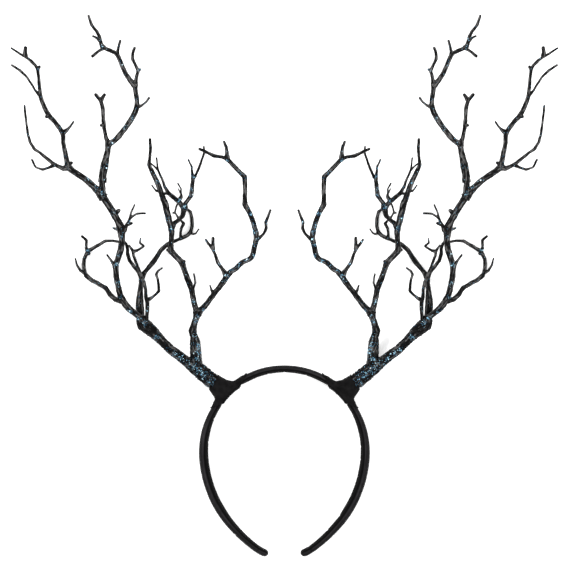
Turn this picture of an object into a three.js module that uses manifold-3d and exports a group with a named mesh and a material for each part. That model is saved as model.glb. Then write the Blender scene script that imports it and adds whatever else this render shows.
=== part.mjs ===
import * as THREE from "three";
import { mergeVertices } from "three/addons/utils/BufferGeometryUtils.js";
import Module from "manifold-3d";

// A headband with two branching antlers, lying on its back: X across, Y up the antlers, Z off the table
const wasm = await Module();
wasm.setup();

// Sizes in millimetres
const clearance = 0.3;
const bandRadius = 61;
const bandWidth = 10;
const bandThickness = 6.3;
const bandCorner = 0.3;
const bandStep = 8.5;
const wrapWall = 1.2;
const wrapDepth = 13.4;
const wrapBevel = 2;
const trunkDiameter = 10.65;
const antlerSpread = 146.9;
const antlerRise = 268.8;
const antlerDepth = 56;
const rootTurn = 45.15;
const rootStandoff = 11.1;

// The antler chart: its cells across and up stand for antlerSpread and antlerRise
const chartAcross = 200;
const chartUp = 366;
const tipBulge = 0.5;

// A strand skips a ring where its knots lie closer than ringGap and it bends less than bendLimit degrees
const ringGap = 10;
const bendLimit = 22;

// How many sides a strand has from a girth up
const strandSides = [
  { girth: 0, sides: 5 },
  { girth: 16.5, sides: 6 },
  { girth: 60.5, sides: 8 },
];

// Band stations: turn in degrees from the crown, reach as percent of bandRadius, wall of bandThickness
const bandStations = [
  { turn: 0, reach: 100, wall: 71.5 },
  { turn: 15, reach: 100, wall: 75 },
  { turn: 30, reach: 99.7, wall: 79 },
  { turn: 60, reach: 98.1, wall: 80 },
  { turn: 75, reach: 97.6, wall: 91.5 },
  { turn: 90, reach: 97.3, wall: 99 },
  { turn: 103, reach: 97.5, wall: 101.5 },
  { turn: 117, reach: 99.5, wall: 101.5 },
  { turn: 132, reach: 103.6, wall: 102.5 },
  { turn: 148, reach: 110.3, wall: 89.5 },
  { turn: 160, reach: 117.7, wall: 79 },
  { turn: 169, reach: 124.9, wall: 80 },
];

// How far past the band's ends its rounded tips reach, and their thickness there, as shares
const bandTips = [
  { beyond: 0.95, scale: 0.35 },
  { beyond: 0.6, scale: 0.8 },
];

// Wrap outline: its foot spans these turns of the band, its mouth and shoulders are chart cells
const wrapTurns = { from: 34, to: 53 };
const wrapFootSteps = 6;
const wrapMouth = {
  shoulder: [-8, 6.4],
  highCorner: [-4, 6.6],
  lowCorner: [4.3, -7.2],
};

// Each strand lists its knots as [out, up] chart cells, its girth in percent of the trunk's diameter
// and its lift off the table in percent of the antler's depth, both spread evenly over the knots
const trunkPlan = {
  trunk: {
    path: [[-7.5, -7], [-0.5, -1], [3.5, 2], [13, 10], [20, 15], [27, 20], [43, 32], [54, 43], [59, 48],
      [65, 53], [69.5, 57], [71, 60.5]],
    girth: [76, 80, 97, 97, 86, 68, 60, 61, 74, 84, 84, 76],
    lift: [12, 12, 12, 13, 14, 16, 21, 25, 28, 30, 31, 32],
    wrapped: true,
  },
};

const innerPlan = {
  plug: { girth: [46, 50], lift: [13, 13], path: [[17, 11], [17, 20]], buried: true },
  stem: {
    path: [[17, 18], [17.5, 28], [18, 39], [19, 45], [20.5, 50], [18.5, 58], [16, 66.5]],
    girth: [78, 75, 69, 50, 51, 42, 44],
    lift: [13, 23],
    buried: true,
  },
  riserLow: {
    path: [[16, 66.5], [19, 78], [21.5, 92], [27.5, 107], [31, 118], [38, 125.5], [42.5, 131]],
    girth: [42, 33, 35, 35, 35, 36, 36],
    lift: [23, 27],
  },
  riserMid: {
    path: [[42.5, 131], [42, 138], [41.5, 150], [44, 161], [47.5, 176], [52, 189], [56, 199]],
    girth: [36, 29, 34, 42, 42, 30, 29],
    lift: [27, 40],
  },
  riserTop: {
    path: [[56, 199], [61, 209.5], [64, 216], [63, 224], [62.5, 233], [63, 241.5]],
    girth: [28, 25, 22, 18, 20, 17],
    lift: [40, 53],
  },
  riserTwig: { girth: [14, 13, 10], lift: [25, 36], path: [[20.7, 91], [17.6, 98], [19, 107]] },
  riserThorn: { girth: [14, 12, 8], lift: [36, 40], path: [[52.5, 190], [56.5, 190], [61, 195.7]] },
  shoot: {
    path: [[42, 153], [39, 157.5], [34, 161.5], [30.5, 165.5], [29, 172.5]],
    girth: [30, 24, 24, 26, 32],
    lift: [29, 24],
  },
  shootLeft: {
    path: [[29, 172.5], [34.5, 179.5], [44, 187.5], [48, 194], [51.5, 203], [55, 211], [56.5, 223]],
    girth: [30, 26, 24, 19, 14, 12, 9],
    lift: [24, 40],
  },
  shootSpur: { girth: [11, 10, 9], lift: [37, 39], path: [[55, 211], [59, 215], [63, 218]] },
  shootBridge: { girth: [16, 14, 18], lift: [37, 29], path: [[51, 187], [47, 187.5], [43.5, 187]] },
  shootLoop: {
    path: [[34, 162], [38, 168.5], [37, 174], [34.7, 179]],
    girth: [13, 12, 12, 13],
    lift: [26, 29, 25],
  },
  shootTuft: {
    path: [[34.5, 180], [32, 184], [32.3, 188.5], [32, 192], [35, 197.5]],
    girth: [17, 20, 13, 9, 8],
    lift: [26, 36],
  },
  shootTuftTip: { girth: [9, 7], lift: [31, 33], path: [[32.7, 188.5], [34.6, 192]] },
  shootRight: {
    path: [[29, 172.5], [27.5, 177.5], [22, 185.5], [20.5, 197], [20, 203]],
    girth: [30, 22, 26, 24, 24],
    lift: [24, 32],
  },
  shootRightTip: {
    path: [[20, 203], [21, 209], [21.5, 214.5], [24.5, 221]],
    girth: [18, 15, 13, 12],
    lift: [32, 40],
  },
  shootReach: {
    path: [[20, 203], [18, 204.5], [14.5, 212], [8.7, 228.5], [9, 234]],
    girth: [18, 16, 15, 14, 13],
    lift: [32, 40],
  },
  loopLow: {
    path: [[16, 66.5], [13, 70.5], [8, 75], [-1, 87], [-11, 100], [-14, 105]],
    girth: [40, 33, 32, 32, 32, 38],
    lift: [23, 42],
  },
  loopMid: {
    path: [[-14, 105], [-18, 109.5], [-23, 112.5], [-29, 118.5], [-36, 121.5], [-39.5, 125], [-41, 132],
      [-43, 141], [-43, 148]],
    girth: [37, 31, 29, 30, 27, 31, 30, 33, 33],
    lift: [42, 52],
  },
  loopHigh: {
    path: [[-43, 148], [-41, 156.5], [-37, 167], [-32, 176.5], [-32, 190], [-31.5, 204]],
    girth: [32, 30, 28, 31, 25, 28],
    lift: [52, 55],
  },
  loopCrest: {
    path: [[-31.5, 204], [-25, 210.5], [-14, 222], [-8, 224], [-1, 225], [6, 228.5], [13.5, 232]],
    girth: [28, 25, 26, 21, 22, 20, 16],
    lift: [55, 48],
  },
  loopSpur: { girth: [20, 13, 10], lift: [33, 37], path: [[-1, 88], [1.5, 91], [3, 95.5]] },
  loopTwig: {
    path: [[-13, 106], [-9, 112.5], [-5, 118], [-2.3, 126], [0, 131.5]],
    girth: [26, 21, 22, 19, 20],
    lift: [41, 43],
  },
  loopTwigLeft: { girth: [17, 18, 15], lift: [43, 41], path: [[0, 131.5], [3.5, 136], [7.3, 141]] },
  loopTwigUp: { girth: [19, 21, 19], lift: [43, 48], path: [[0, 131.5], [0, 137], [0, 143]] },
  rimTwig: {
    path: [[-43, 141], [-46.5, 143], [-50.5, 147], [-53, 152.5], [-53, 159], [-57.3, 170.5]],
    girth: [20, 22, 17, 19, 19, 15],
    lift: [51, 60],
  },
  crestTwig: {
    path: [[-14, 222.5], [-14, 228.5], [-13, 234], [-11, 239]],
    girth: [24, 22, 20, 16],
    lift: [55, 61],
  },
};

const outerPlan = {
  foot: {
    path: [[71, 56], [72.3, 62.5], [78, 67.5], [83, 71.5], [87.5, 76.5], [91.5, 83], [94, 91]],
    girth: [25, 33, 38, 42, 44, 42, 37],
    lift: [34, 35, 36, 37, 38, 39, 40],
    buried: true,
  },
  crook: {
    path: [[94, 91], [95.5, 98], [97, 107], [97.2, 115], [95, 123], [92.3, 131], [91, 140]],
    girth: [37, 37, 36, 39, 38, 41, 37],
    lift: [40, 40],
  },
  bole: {
    path: [[91, 140], [91.4, 147], [92, 153], [95, 160], [100, 169], [104.4, 176], [109, 183]],
    girth: [38, 52, 55, 45, 47, 45, 46],
    lift: [40, 52],
  },
  spike: {
    path: [[109, 183], [110.2, 189.5], [110.8, 196], [110.3, 205]],
    girth: [44, 40, 39, 26],
    lift: [52, 55],
    plugged: true,
  },
  arm: {
    path: [[109, 183], [114.5, 189.5], [120, 195], [126, 200.5], [133, 205.3], [139.5, 209.5], [144.5, 214]],
    girth: [46, 48, 43, 41, 38, 37, 42],
    lift: [52, 47],
  },
  mast: {
    path: [[144.5, 214], [146, 220], [149.3, 237], [150, 246], [152, 251], [158, 259], [164.5, 266]],
    girth: [36, 30, 26, 27, 25, 26, 29],
    lift: [47, 56],
  },
  mastTop: {
    path: [[164.5, 266], [168.5, 274], [172, 283.5], [173, 292], [175, 311]],
    girth: [27, 26, 24, 19, 18],
    lift: [56, 67],
  },
  mastTip: {
    path: [[175, 311], [177.5, 315.5], [182, 320], [186.7, 323.5]],
    girth: [17, 16, 17, 14],
    lift: [67, 71],
  },
  tine: { girth: [13, 12, 10], lift: [71, 68], path: [[186.7, 323.5], [193, 327], [201, 332.5]] },
  bluntTine: { girth: [18, 22, 21], lift: [71, 76], path: [[187, 324], [187.6, 328], [187.1, 332.7]] },
  lowTwig: {
    path: [[173.2, 286], [177.5, 290.5], [182, 297.5], [187, 305], [193, 310.5], [201, 315.7]],
    girth: [15, 13, 13, 14, 14, 10],
    lift: [60, 50],
  },
  sideTwig: {
    path: [[149.3, 248.5], [146.5, 250.5], [143, 254], [139.5, 259]],
    girth: [20, 17, 12, 10],
    lift: [52, 58],
  },
  sweep: {
    path: [[144.5, 214], [149.5, 212.5], [155, 214.7], [160, 217.5], [165.5, 222], [173, 228], [178.5, 232]],
    girth: [30, 24, 22, 21, 18, 15, 16],
    lift: [47, 32],
  },
  sweepTip: {
    path: [[178.5, 232], [183, 239], [185.3, 248], [186.8, 259], [188.6, 275]],
    girth: [15, 15, 14, 13, 11],
    lift: [32, 24],
  },
  sweepCurl: {
    path: [[159, 216], [163, 213.7], [170.5, 211.4], [177, 213.7], [181, 221]],
    girth: [16, 15, 13, 10, 12],
    lift: [39, 29],
  },
  hoopLow: {
    path: [[92, 80.5], [97.5, 81.5], [103, 86.5], [107.5, 93], [114, 97], [121, 100.5], [127, 105.3]],
    girth: [26, 28, 27, 26, 25, 25, 26],
    lift: [38, 8],
  },
  hoopSide: {
    path: [[127, 105.3], [129, 110.5], [129.5, 117], [129, 122], [127, 126.5]],
    girth: [22, 20, 21, 21, 21],
    lift: [8, 0, 0, 0, 4],
  },
  hoopTop: {
    path: [[127, 126.5], [124.7, 130], [120, 132.7], [114, 136.5], [108, 140], [101, 140.2], [93, 139]],
    girth: [22, 25, 19, 20, 17, 14, 14],
    lift: [4, 22],
  },
  hoopHook: {
    path: [[125.5, 129.5], [127, 133.5], [126.7, 140.5], [131, 144.7]],
    girth: [16, 14, 14, 13],
    lift: [6, 16],
  },
  hoopWhip: {
    path: [[128.5, 108.5], [133, 110.7], [136, 115.7], [137.8, 122.5]],
    girth: [16, 13, 12, 8],
    lift: [4, 12],
  },
  budTwig: { girth: [22, 12, 10], lift: [40, 44], path: [[98, 115.5], [101, 119.5], [105.7, 126]] },
  thorn: { girth: [14, 12, 10], lift: [43, 44], path: [[94, 151.5], [98, 152.2], [99.7, 153]] },
  spray: {
    path: [[89.5, 150], [87, 154.5], [84.2, 159], [83, 163]],
    girth: [26, 22, 17, 12],
    lift: [42, 46],
  },
  sprayUp: { girth: [10, 9, 8], lift: [46, 50], path: [[83, 163], [81.7, 168.5], [78.5, 176]] },
  sprayOut: { girth: [10, 10, 11], lift: [46, 48], path: [[83, 163], [76, 167.2], [68, 167.6]] },
};

const crownPlan = {
  socket: {
    path: [[110.4, 198.7], [109.8, 206], [108.3, 216], [107, 222], [105.6, 228], [104, 235.5]],
    girth: [58, 54, 53, 46, 36, 38],
    lift: [54, 63],
  },
  spar: {
    path: [[104, 235.5], [100, 239.2], [94, 244.5], [88, 252], [82, 260.5], [77.5, 269], [76, 274]],
    girth: [36, 34, 34, 31, 32, 33, 31],
    lift: [63, 77],
  },
  sparTop: {
    path: [[76, 274], [76, 281], [77, 289], [77.5, 295]],
    girth: [28, 27, 28, 32],
    lift: [77, 82],
  },
  sparTwig: {
    path: [[75.5, 273.5], [71, 275.3], [67, 278.5], [64, 282.6]],
    girth: [17, 12, 11, 13],
    lift: [77, 73],
  },
  leftTop: {
    path: [[77.5, 295], [82, 299.5], [86.5, 306], [90.5, 314.5], [94, 323.5]],
    girth: [28, 27, 26, 25, 24],
    lift: [82, 92],
  },
  ridge: {
    path: [[94, 323.5], [97, 327.2], [102, 329.7], [109, 332.5]],
    girth: [24, 22, 22, 24],
    lift: [92, 95],
  },
  ridgeTwig: { girth: [17, 15, 13], lift: [92, 98], path: [[95.5, 325.5], [94.3, 332.5], [92.4, 339.5]] },
  horn: {
    path: [[109, 332.5], [111.7, 337], [113.2, 344], [116, 349.5], [121, 355.5], [123.8, 364.5]],
    girth: [24, 21, 17, 17, 16, 14],
    lift: [95, 92],
  },
  hornTwig: { girth: [16, 12, 10], lift: [95, 98], path: [[112.2, 339], [115.5, 342.2], [119.5, 344.2]] },
  hornSpur: { girth: [16, 15, 17], lift: [95, 90], path: [[109, 332.5], [113.5, 329.8], [120, 324.3]] },
  rightTop: { girth: [21, 18, 17], lift: [82, 90], path: [[77.5, 295], [76.5, 302.5], [74.7, 310]] },
  rightTip: {
    path: [[74.7, 310], [77, 315], [80, 321.5], [80, 327], [78.2, 332.5]],
    girth: [16, 16, 17, 15, 15],
    lift: [90, 99],
  },
  leftLow: {
    path: [[104, 235.5], [106.5, 242], [108.2, 250], [109.4, 260], [109.8, 271], [112, 280]],
    girth: [30, 21, 21, 23, 23, 21],
    lift: [63, 77],
  },
  leftLowTip: { girth: [20, 18], lift: [77, 80], path: [[112, 280], [117, 286]] },
  leftLowFork: { girth: [18, 18], lift: [77, 75], path: [[112, 280], [108.3, 285.8]] },
};

const backPlan = {
  foot: {
    path: [[70.5, 57], [71.8, 64.5], [73.2, 73], [73.4, 81], [72.7, 91], [72, 98], [71.4, 104]],
    girth: [24, 44, 56, 51, 36, 28, 36],
    lift: [27, 23, 22, 20, 18, 17, 16],
    buried: true,
  },
  leftStrand: {
    path: [[71.4, 104], [75, 109], [83.5, 121], [85.3, 126.5], [85.4, 132], [87, 137], [90, 140.5]],
    girth: [28, 23, 22, 22, 19, 17, 14],
    lift: [16, 17],
  },
  rightStrand: {
    path: [[71.4, 104], [68.5, 108.5], [59.5, 119.5], [52, 131], [46, 136.5]],
    girth: [30, 26, 31, 27, 26],
    lift: [16, 10],
  },
  underStrand: {
    path: [[46, 136.5], [40, 139.3], [32, 142.5], [26, 145.7], [22.5, 149]],
    girth: [25, 20, 22, 21, 22],
    lift: [10, 7, 4, 2, 0],
  },
  restStrand: { girth: [20, 20, 20], lift: [0, 0], path: [[22.5, 149], [21, 155], [21.3, 162]] },
  restTip: { girth: [19, 18, 13], lift: [0, 6], path: [[21.3, 162], [23, 169], [26, 172]] },
  upTwig: {
    path: [[32, 142.5], [32.7, 147], [32, 152], [29.5, 157.5], [31.5, 160]],
    girth: [17, 14, 17, 17, 12],
    lift: [4, 10],
  },
  sideTwig: {
    path: [[22.5, 148.5], [20, 147], [17.5, 147.7], [14.3, 152]],
    girth: [12, 9, 8, 8],
    lift: [1, 5],
  },
};

const frontPlan = {
  foot: {
    path: [[66.3, 56.5], [66, 63], [65.8, 71], [65.7, 78], [67, 84], [67.3, 91], [68.5, 97.5]],
    girth: [18, 24, 25, 25, 23, 19, 18],
    lift: [34, 36, 38, 39, 39, 38, 37],
    buried: true,
  },
  upper: {
    path: [[68.5, 97.5], [73.8, 110.5], [79.4, 125], [80.2, 130], [83.7, 135.7]],
    girth: [18, 18, 16, 17, 11],
    lift: [37, 36],
  },
  hook: {
    path: [[80, 129.5], [76, 130.5], [72.5, 132.5], [69.3, 134.8]],
    girth: [15, 14, 12, 13],
    lift: [36, 40],
  },
  hookTip: { girth: [12, 12, 7], lift: [40, 43], path: [[69.3, 134.8], [72.8, 138.2], [72.4, 142.5]] },
  arm: {
    path: [[65.8, 81], [62, 82.7], [58, 86], [54, 90.5]],
    girth: [18, 17, 15, 19],
    lift: [39, 46],
  },
  armTop: {
    path: [[54, 90.5], [55, 101.5], [56.7, 106.5], [55, 110], [51, 113]],
    girth: [17, 14, 14, 13, 11],
    lift: [46, 52],
  },
};

const percent = 0.01;

// Reads a value part way along a list whose entries are spread evenly from start to end
function spread(values, share) {
  const place = share * (values.length - 1);
  const low = Math.min(Math.floor(place), values.length - 2);
  return THREE.MathUtils.lerp(values[low], values[low + 1], place - low);
}

// Turns a closed skin of triangles into a solid
function solidFrom(geometry) {
  geometry.deleteAttribute("normal");
  geometry.deleteAttribute("uv");
  const merged = mergeVertices(geometry);
  const vertProperties = new Float32Array(merged.attributes.position.array);
  const triVerts = new Uint32Array(merged.index.array);
  return new wasm.Manifold(new wasm.Mesh({ numProp: 3, vertProperties, triVerts }));
}

// Turns a solid back into a skin of triangles
function geometryFrom(solid) {
  const { vertProperties, triVerts } = solid.getMesh();
  const geometry = new THREE.BufferGeometry();
  geometry.setAttribute("position", new THREE.BufferAttribute(new Float32Array(vertProperties), 3));
  geometry.setIndex(new THREE.BufferAttribute(new Uint32Array(triVerts), 1));
  geometry.computeVertexNormals();
  return geometry;
}

// Closes a row of rings, each wound about the way the row runs, with a cap at either end
function skinRings(rings, startCentre, endCentre) {
  const sides = rings[0].length;
  const points = [...rings.flat(), startCentre, endCentre];
  const startIndex = points.length - 2;
  const endIndex = points.length - 1;
  const lastRing = (rings.length - 1) * sides;
  const triangles = [];
  for (let side = 0; side < sides; side += 1) {
    const next = (side + 1) % sides;
    for (let ring = 0; ring < rings.length - 1; ring += 1) {
      const here = ring * sides;
      const there = here + sides;
      triangles.push(here + side, here + next, there + next);
      triangles.push(here + side, there + next, there + side);
    }
    triangles.push(startIndex, next, side);
    triangles.push(endIndex, lastRing + side, lastRing + next);
  }
  const geometry = new THREE.BufferGeometry().setFromPoints(points);
  geometry.setIndex(triangles);
  return geometry;
}

// A table row's knots, each with its own girth and height
function knotsOf({ path, girth, lift }) {
  return path.map(([out, up], index) => {
    const share = index / (path.length - 1);
    const radius = spread(girth, share) * percent * trunkDiameter / 2;
    const height = spread(lift, share) * percent * antlerDepth;
    return { radius, point: chartPoint(out, up, Math.max(radius, height)) };
  });
}

// Rows that start where the row before them ends run on as one strand
function strandsOf(plan) {
  const strands = [];
  for (const row of Object.values(plan)) {
    const knots = knotsOf(row);
    const last = strands.at(-1);
    if (last && last.at(-1).point.distanceTo(knots[0].point) < clearance) {
      last.push(...knots.slice(1));
    } else {
      strands.push(knots);
    }
  }
  return strands;
}

// Which knots of a strand get a ring: its ends, its bends, and the rest only as often as needed
function ringsNeeded(knots) {
  const kept = [0];
  for (let index = 1; index < knots.length - 1; index += 1) {
    const back = knots[index].point.clone().sub(knots[kept.at(-1)].point);
    const ahead = knots[index + 1].point.clone().sub(knots[index].point);
    const bend = THREE.MathUtils.radToDeg(back.angleTo(ahead));
    if (back.length() + ahead.length() > ringGap || bend > bendLimit) {
      kept.push(index);
    }
  }
  kept.push(knots.length - 1);
  return kept;
}

// One tapered strand through its knots; growth widens and lengthens it all round for a cut
function makeStrand(knots, growth = 0) {
  const curve = new THREE.CatmullRomCurve3(knots.map(({ point }) => point), false, "centripetal");
  const thickest = Math.max(...knots.map(({ radius }) => radius));
  const girth = thickest * 2 / trunkDiameter / percent;
  const { sides } = strandSides.findLast((row) => row.girth <= girth);
  const upright = new THREE.Vector3(0, 0, 1);
  const rings = [];
  const ends = [];
  for (const index of ringsNeeded(knots)) {
    const along = curve.getTangent(index / (knots.length - 1));
    const across = along.clone().cross(upright).normalize();
    const below = along.clone().cross(across);
    const centre = knots[index].point.clone();
    const radius = knots[index].radius + growth;
    if (index === 0) {
      centre.addScaledVector(along, -growth);
      ends[0] = centre;
    }
    if (index === knots.length - 1) {
      centre.addScaledVector(along, growth);
      ends[1] = centre.clone().addScaledVector(along, radius * tipBulge);
    }
    const ring = [];
    for (let side = 0; side < sides; side += 1) {
      const angle = side / sides * 2 * Math.PI;
      const rim = centre.clone().addScaledVector(across, radius * Math.cos(angle));
      ring.push(rim.addScaledVector(below, radius * Math.sin(angle)));
    }
    rings.push(ring);
  }
  return solidFrom(skinRings(rings, ends[0], ends[1]));
}

// A place on the left antler's chart, whose zero stands off from the band at the antler's turn
function chartPoint(out, up, height) {
  const root = bandPoint(rootTurn, bandReach(rootTurn) + bandHalf(rootTurn) + rootStandoff);
  const across = out * antlerSpread / chartAcross;
  return new THREE.Vector3(root.x - across, root.y + up * antlerRise / chartUp, height);
}

function fuse(solids) {
  return solids.reduce((joined, solid) => joined.add(solid));
}

function makeLimb(plan) {
  return fuse(strandsOf(plan).map((knots) => makeStrand(knots)));
}

// What is left of a solid once the loose offcuts of a cut are dropped
function mainBody(solid) {
  return solid.decompose().reduce((main, body) => body.volume() > main.volume() ? body : main);
}

// The room that a limb's marked strands need in the piece that carries them
function roomFor(plan, mark) {
  const rows = Object.values(plan).filter((row) => row[mark]);
  return fuse(rows.map((row) => makeStrand(knotsOf(row), clearance)));
}

// Reads a column of the band's stations at a turn from the crown
function bandAt(turn, column) {
  const next = bandStations.findIndex((station) => station.turn > turn);
  if (next < 0) {
    return bandStations.at(-1)[column];
  }
  const low = bandStations[next - 1];
  const high = bandStations[next];
  return THREE.MathUtils.mapLinear(turn, low.turn, high.turn, low[column], high[column]);
}

// A place round the band, turned from the crown towards the left
function bandPoint(turn, radius) {
  const angle = THREE.MathUtils.degToRad(turn);
  return new THREE.Vector2(-radius * Math.sin(angle), radius * Math.cos(angle));
}

function bandReach(turn) {
  return bandAt(turn, "reach") * percent * bandRadius;
}

function bandHalf(turn) {
  return bandAt(turn, "wall") * percent * bandThickness / 2;
}

// The band: a strip with cut corners swept from the left tip over the crown to the right tip
function makeBand(growth = 0) {
  const leftRoute = bandStations.map(({ turn }) => bandPoint(turn, bandReach(turn)));
  const rightRoute = leftRoute.slice(1).map(({ x, y }) => new THREE.Vector2(-x, y));
  const curve = new THREE.SplineCurve([...leftRoute.reverse(), ...rightRoute]);
  const steps = Math.round(curve.getLength() / bandStep);
  const corners = [[1, 1 - bandCorner], [1 - bandCorner, 1], [bandCorner - 1, 1], [-1, 1 - bandCorner]];
  const outline = [...corners, ...corners.map(([thick, wide]) => [-thick, -wide])];
  const makeRing = (share, beyond, scale) => {
    const along = curve.getTangentAt(share);
    const centre = curve.getPointAt(share).addScaledVector(along, beyond);
    const turn = Math.abs(THREE.MathUtils.radToDeg(Math.atan2(centre.x, centre.y)));
    const half = bandHalf(turn) * scale + growth;
    const high = bandWidth / 2 * Math.sqrt(scale) + growth;
    return outline.map(([thick, wide]) => new THREE.Vector3(
      centre.x + along.y * half * thick,
      centre.y - along.x * half * thick,
      wrapDepth / 2 - high * wide,
    ));
  };
  const tipRadius = bandHalf(bandStations.at(-1).turn);
  const rings = bandTips.map(({ beyond, scale }) => makeRing(0, -beyond * tipRadius, scale));
  for (let step = 0; step <= steps; step += 1) {
    rings.push(makeRing(step / steps, 0, 1));
  }
  rings.push(...bandTips.map(({ beyond, scale }) => makeRing(1, beyond * tipRadius, scale)).reverse());
  return solidFrom(skinRings(rings, centreOf(rings[0]), centreOf(rings.at(-1))));
}

function centreOf(ring) {
  const sum = ring.reduce((total, point) => total.add(point), new THREE.Vector3());
  return sum.divideScalar(ring.length);
}

// A cloth wrap: a bevelled block round the band and the trunk's root, hollowed for both
function makeWrap(bandRoom, trunkRoom) {
  const wall = clearance + wrapWall;
  const inner = [];
  for (let step = 0; step <= wrapFootSteps; step += 1) {
    const turn = THREE.MathUtils.lerp(wrapTurns.to, wrapTurns.from, step / wrapFootSteps);
    inner.push(bandPoint(turn, bandReach(turn) - bandHalf(turn) - wall));
  }
  const outer = [wrapTurns.from, wrapTurns.to].map((turn) =>
    bandPoint(turn, bandReach(turn) + bandHalf(turn) + wall));
  const mouth = Object.values(wrapMouth).map(([out, up]) => chartPoint(out, up, 0));
  const shape = new THREE.Shape([...inner, outer[0], ...mouth, outer[1]]);
  const block = new THREE.ExtrudeGeometry(shape, {
    depth: wrapDepth - 2 * wrapBevel,
    bevelSize: wrapBevel,
    bevelThickness: wrapBevel,
    bevelOffset: -wrapBevel,
    bevelSegments: 2,
  });
  block.translate(0, 0, wrapBevel);
  return solidFrom(block).subtract(bandRoom).subtract(trunkRoom);
}

const fabric = { color: 0x17171a, roughness: 0.85, metalness: 0 };
const felt = { color: 0x141416, roughness: 1, metalness: 0 };
const plastic = { color: 0x101114, roughness: 0.45, metalness: 0.1 };

function makeMesh(name, solid, look) {
  const material = new THREE.MeshStandardMaterial({ ...look, flatShading: true });
  const mesh = new THREE.Mesh(geometryFrom(solid), material);
  mesh.name = name;
  return mesh;
}

const wholeTrunk = makeLimb(trunkPlan);
const trunk = mainBody([innerPlan, outerPlan, backPlan, frontPlan]
  .reduce((solid, plan) => solid.subtract(roomFor(plan, "buried")), wholeTrunk));
const outerLimb = makeLimb(outerPlan);
const crownBranch = makeLimb(crownPlan).subtract(roomFor(outerPlan, "plugged"));
const wrap = makeWrap(makeBand(clearance), roomFor(trunkPlan, "wrapped"));

// The right side is the left one mirrored
const part = new THREE.Group();
part.add(makeMesh("band", makeBand(), fabric));
for (const [side, mirror] of [["left", 1], ["right", -1]]) {
  const half = new THREE.Group();
  half.scale.x = mirror;
  half.add(
    makeMesh(`${side}_wrap`, wrap, felt),
    makeMesh(`${side}_trunk`, trunk, plastic),
    makeMesh(`${side}_inner_branch`, makeLimb(innerPlan), plastic),
    makeMesh(`${side}_outer_limb`, outerLimb, plastic),
    makeMesh(`${side}_crown_branch`, crownBranch, plastic),
    makeMesh(`${side}_back_sprig`, makeLimb(backPlan), plastic),
    makeMesh(`${side}_front_sprig`, makeLimb(frontPlan), plastic),
  );
  part.add(half);
}

// The origin sits under the middle of the whole part
const bounds = new THREE.Box3().setFromObject(part);
const middle = bounds.getCenter(new THREE.Vector3());
part.position.set(-middle.x, -middle.y, -bounds.min.z);

export default part;
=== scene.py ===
"""An antler headband lying on a pale floor: cloth-covered band, felt wraps and glittering bark antlers"""

import math

import bmesh
import bpy
import numpy as np
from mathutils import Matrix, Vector, noise


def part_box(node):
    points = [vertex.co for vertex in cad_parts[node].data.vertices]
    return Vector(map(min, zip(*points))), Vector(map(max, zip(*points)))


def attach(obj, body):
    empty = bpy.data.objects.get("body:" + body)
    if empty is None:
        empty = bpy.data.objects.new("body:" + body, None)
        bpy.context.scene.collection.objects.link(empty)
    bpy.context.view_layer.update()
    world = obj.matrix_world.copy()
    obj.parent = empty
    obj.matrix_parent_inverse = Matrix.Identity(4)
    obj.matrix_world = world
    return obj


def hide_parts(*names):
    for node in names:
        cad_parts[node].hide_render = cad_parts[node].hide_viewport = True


MM = 0.001
PERCENT = 0.01

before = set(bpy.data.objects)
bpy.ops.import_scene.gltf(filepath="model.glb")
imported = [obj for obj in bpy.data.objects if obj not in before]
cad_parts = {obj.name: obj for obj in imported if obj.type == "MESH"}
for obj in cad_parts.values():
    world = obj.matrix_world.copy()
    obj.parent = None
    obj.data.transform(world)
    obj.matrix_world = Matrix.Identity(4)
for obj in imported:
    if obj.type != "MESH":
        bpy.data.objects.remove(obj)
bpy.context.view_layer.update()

# One seed for the noise and the flakes, so that each run gives the same part
SEED = 7
noise.seed_set(SEED)

# Driving sizes, the same as the solids'
BAND_RADIUS = 61 * MM
BAND_WIDTH = 10 * MM
BAND_THICKNESS = 6.3 * MM
BAND_MIDDLE = 6.7 * MM
TRUNK_DIAMETER = 10.65 * MM
ANTLER_SPREAD = 146.9 * MM
ANTLER_RISE = 268.8 * MM
ANTLER_DEPTH = 56 * MM
ROOT_TURN = 45.15
ROOT_STANDOFF = 11.1 * MM
CHART_ACROSS = 200
CHART_UP = 366

# Band stations: turn in degrees from the crown, reach as percent of BAND_RADIUS, wall of BAND_THICKNESS
BAND_TURNS = [0, 15, 30, 60, 75, 90, 103, 117, 132, 148, 160, 169]
BAND_REACHES = [100, 100, 99.7, 98.1, 97.6, 97.3, 97.5, 99.5, 103.6, 110.3, 117.7, 124.9]
BAND_WALLS = [71.5, 75, 79, 80, 91.5, 99, 101.5, 101.5, 102.5, 89.5, 79, 80]

# The antler chart. Each row gives girths in percent of the trunk's diameter, lifts off the floor in percent
# of the antler's depth, both spread evenly over the row, and its path of cells across and up

TRUNK_ROWS = {
    "trunk": (
        [90, 98, 102, 98, 87, 68, 60, 61, 74, 84, 84, 76], [12, 12, 12, 13, 14, 16, 21, 25, 28, 30, 31, 32],
        [(-7.5, -7), (-0.5, -1), (3.5, 2), (13, 10), (20, 15), (27, 20), (43, 32), (54, 43), (59, 48),
         (65, 53), (69.5, 57), (71, 60.5)]),
}

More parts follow.
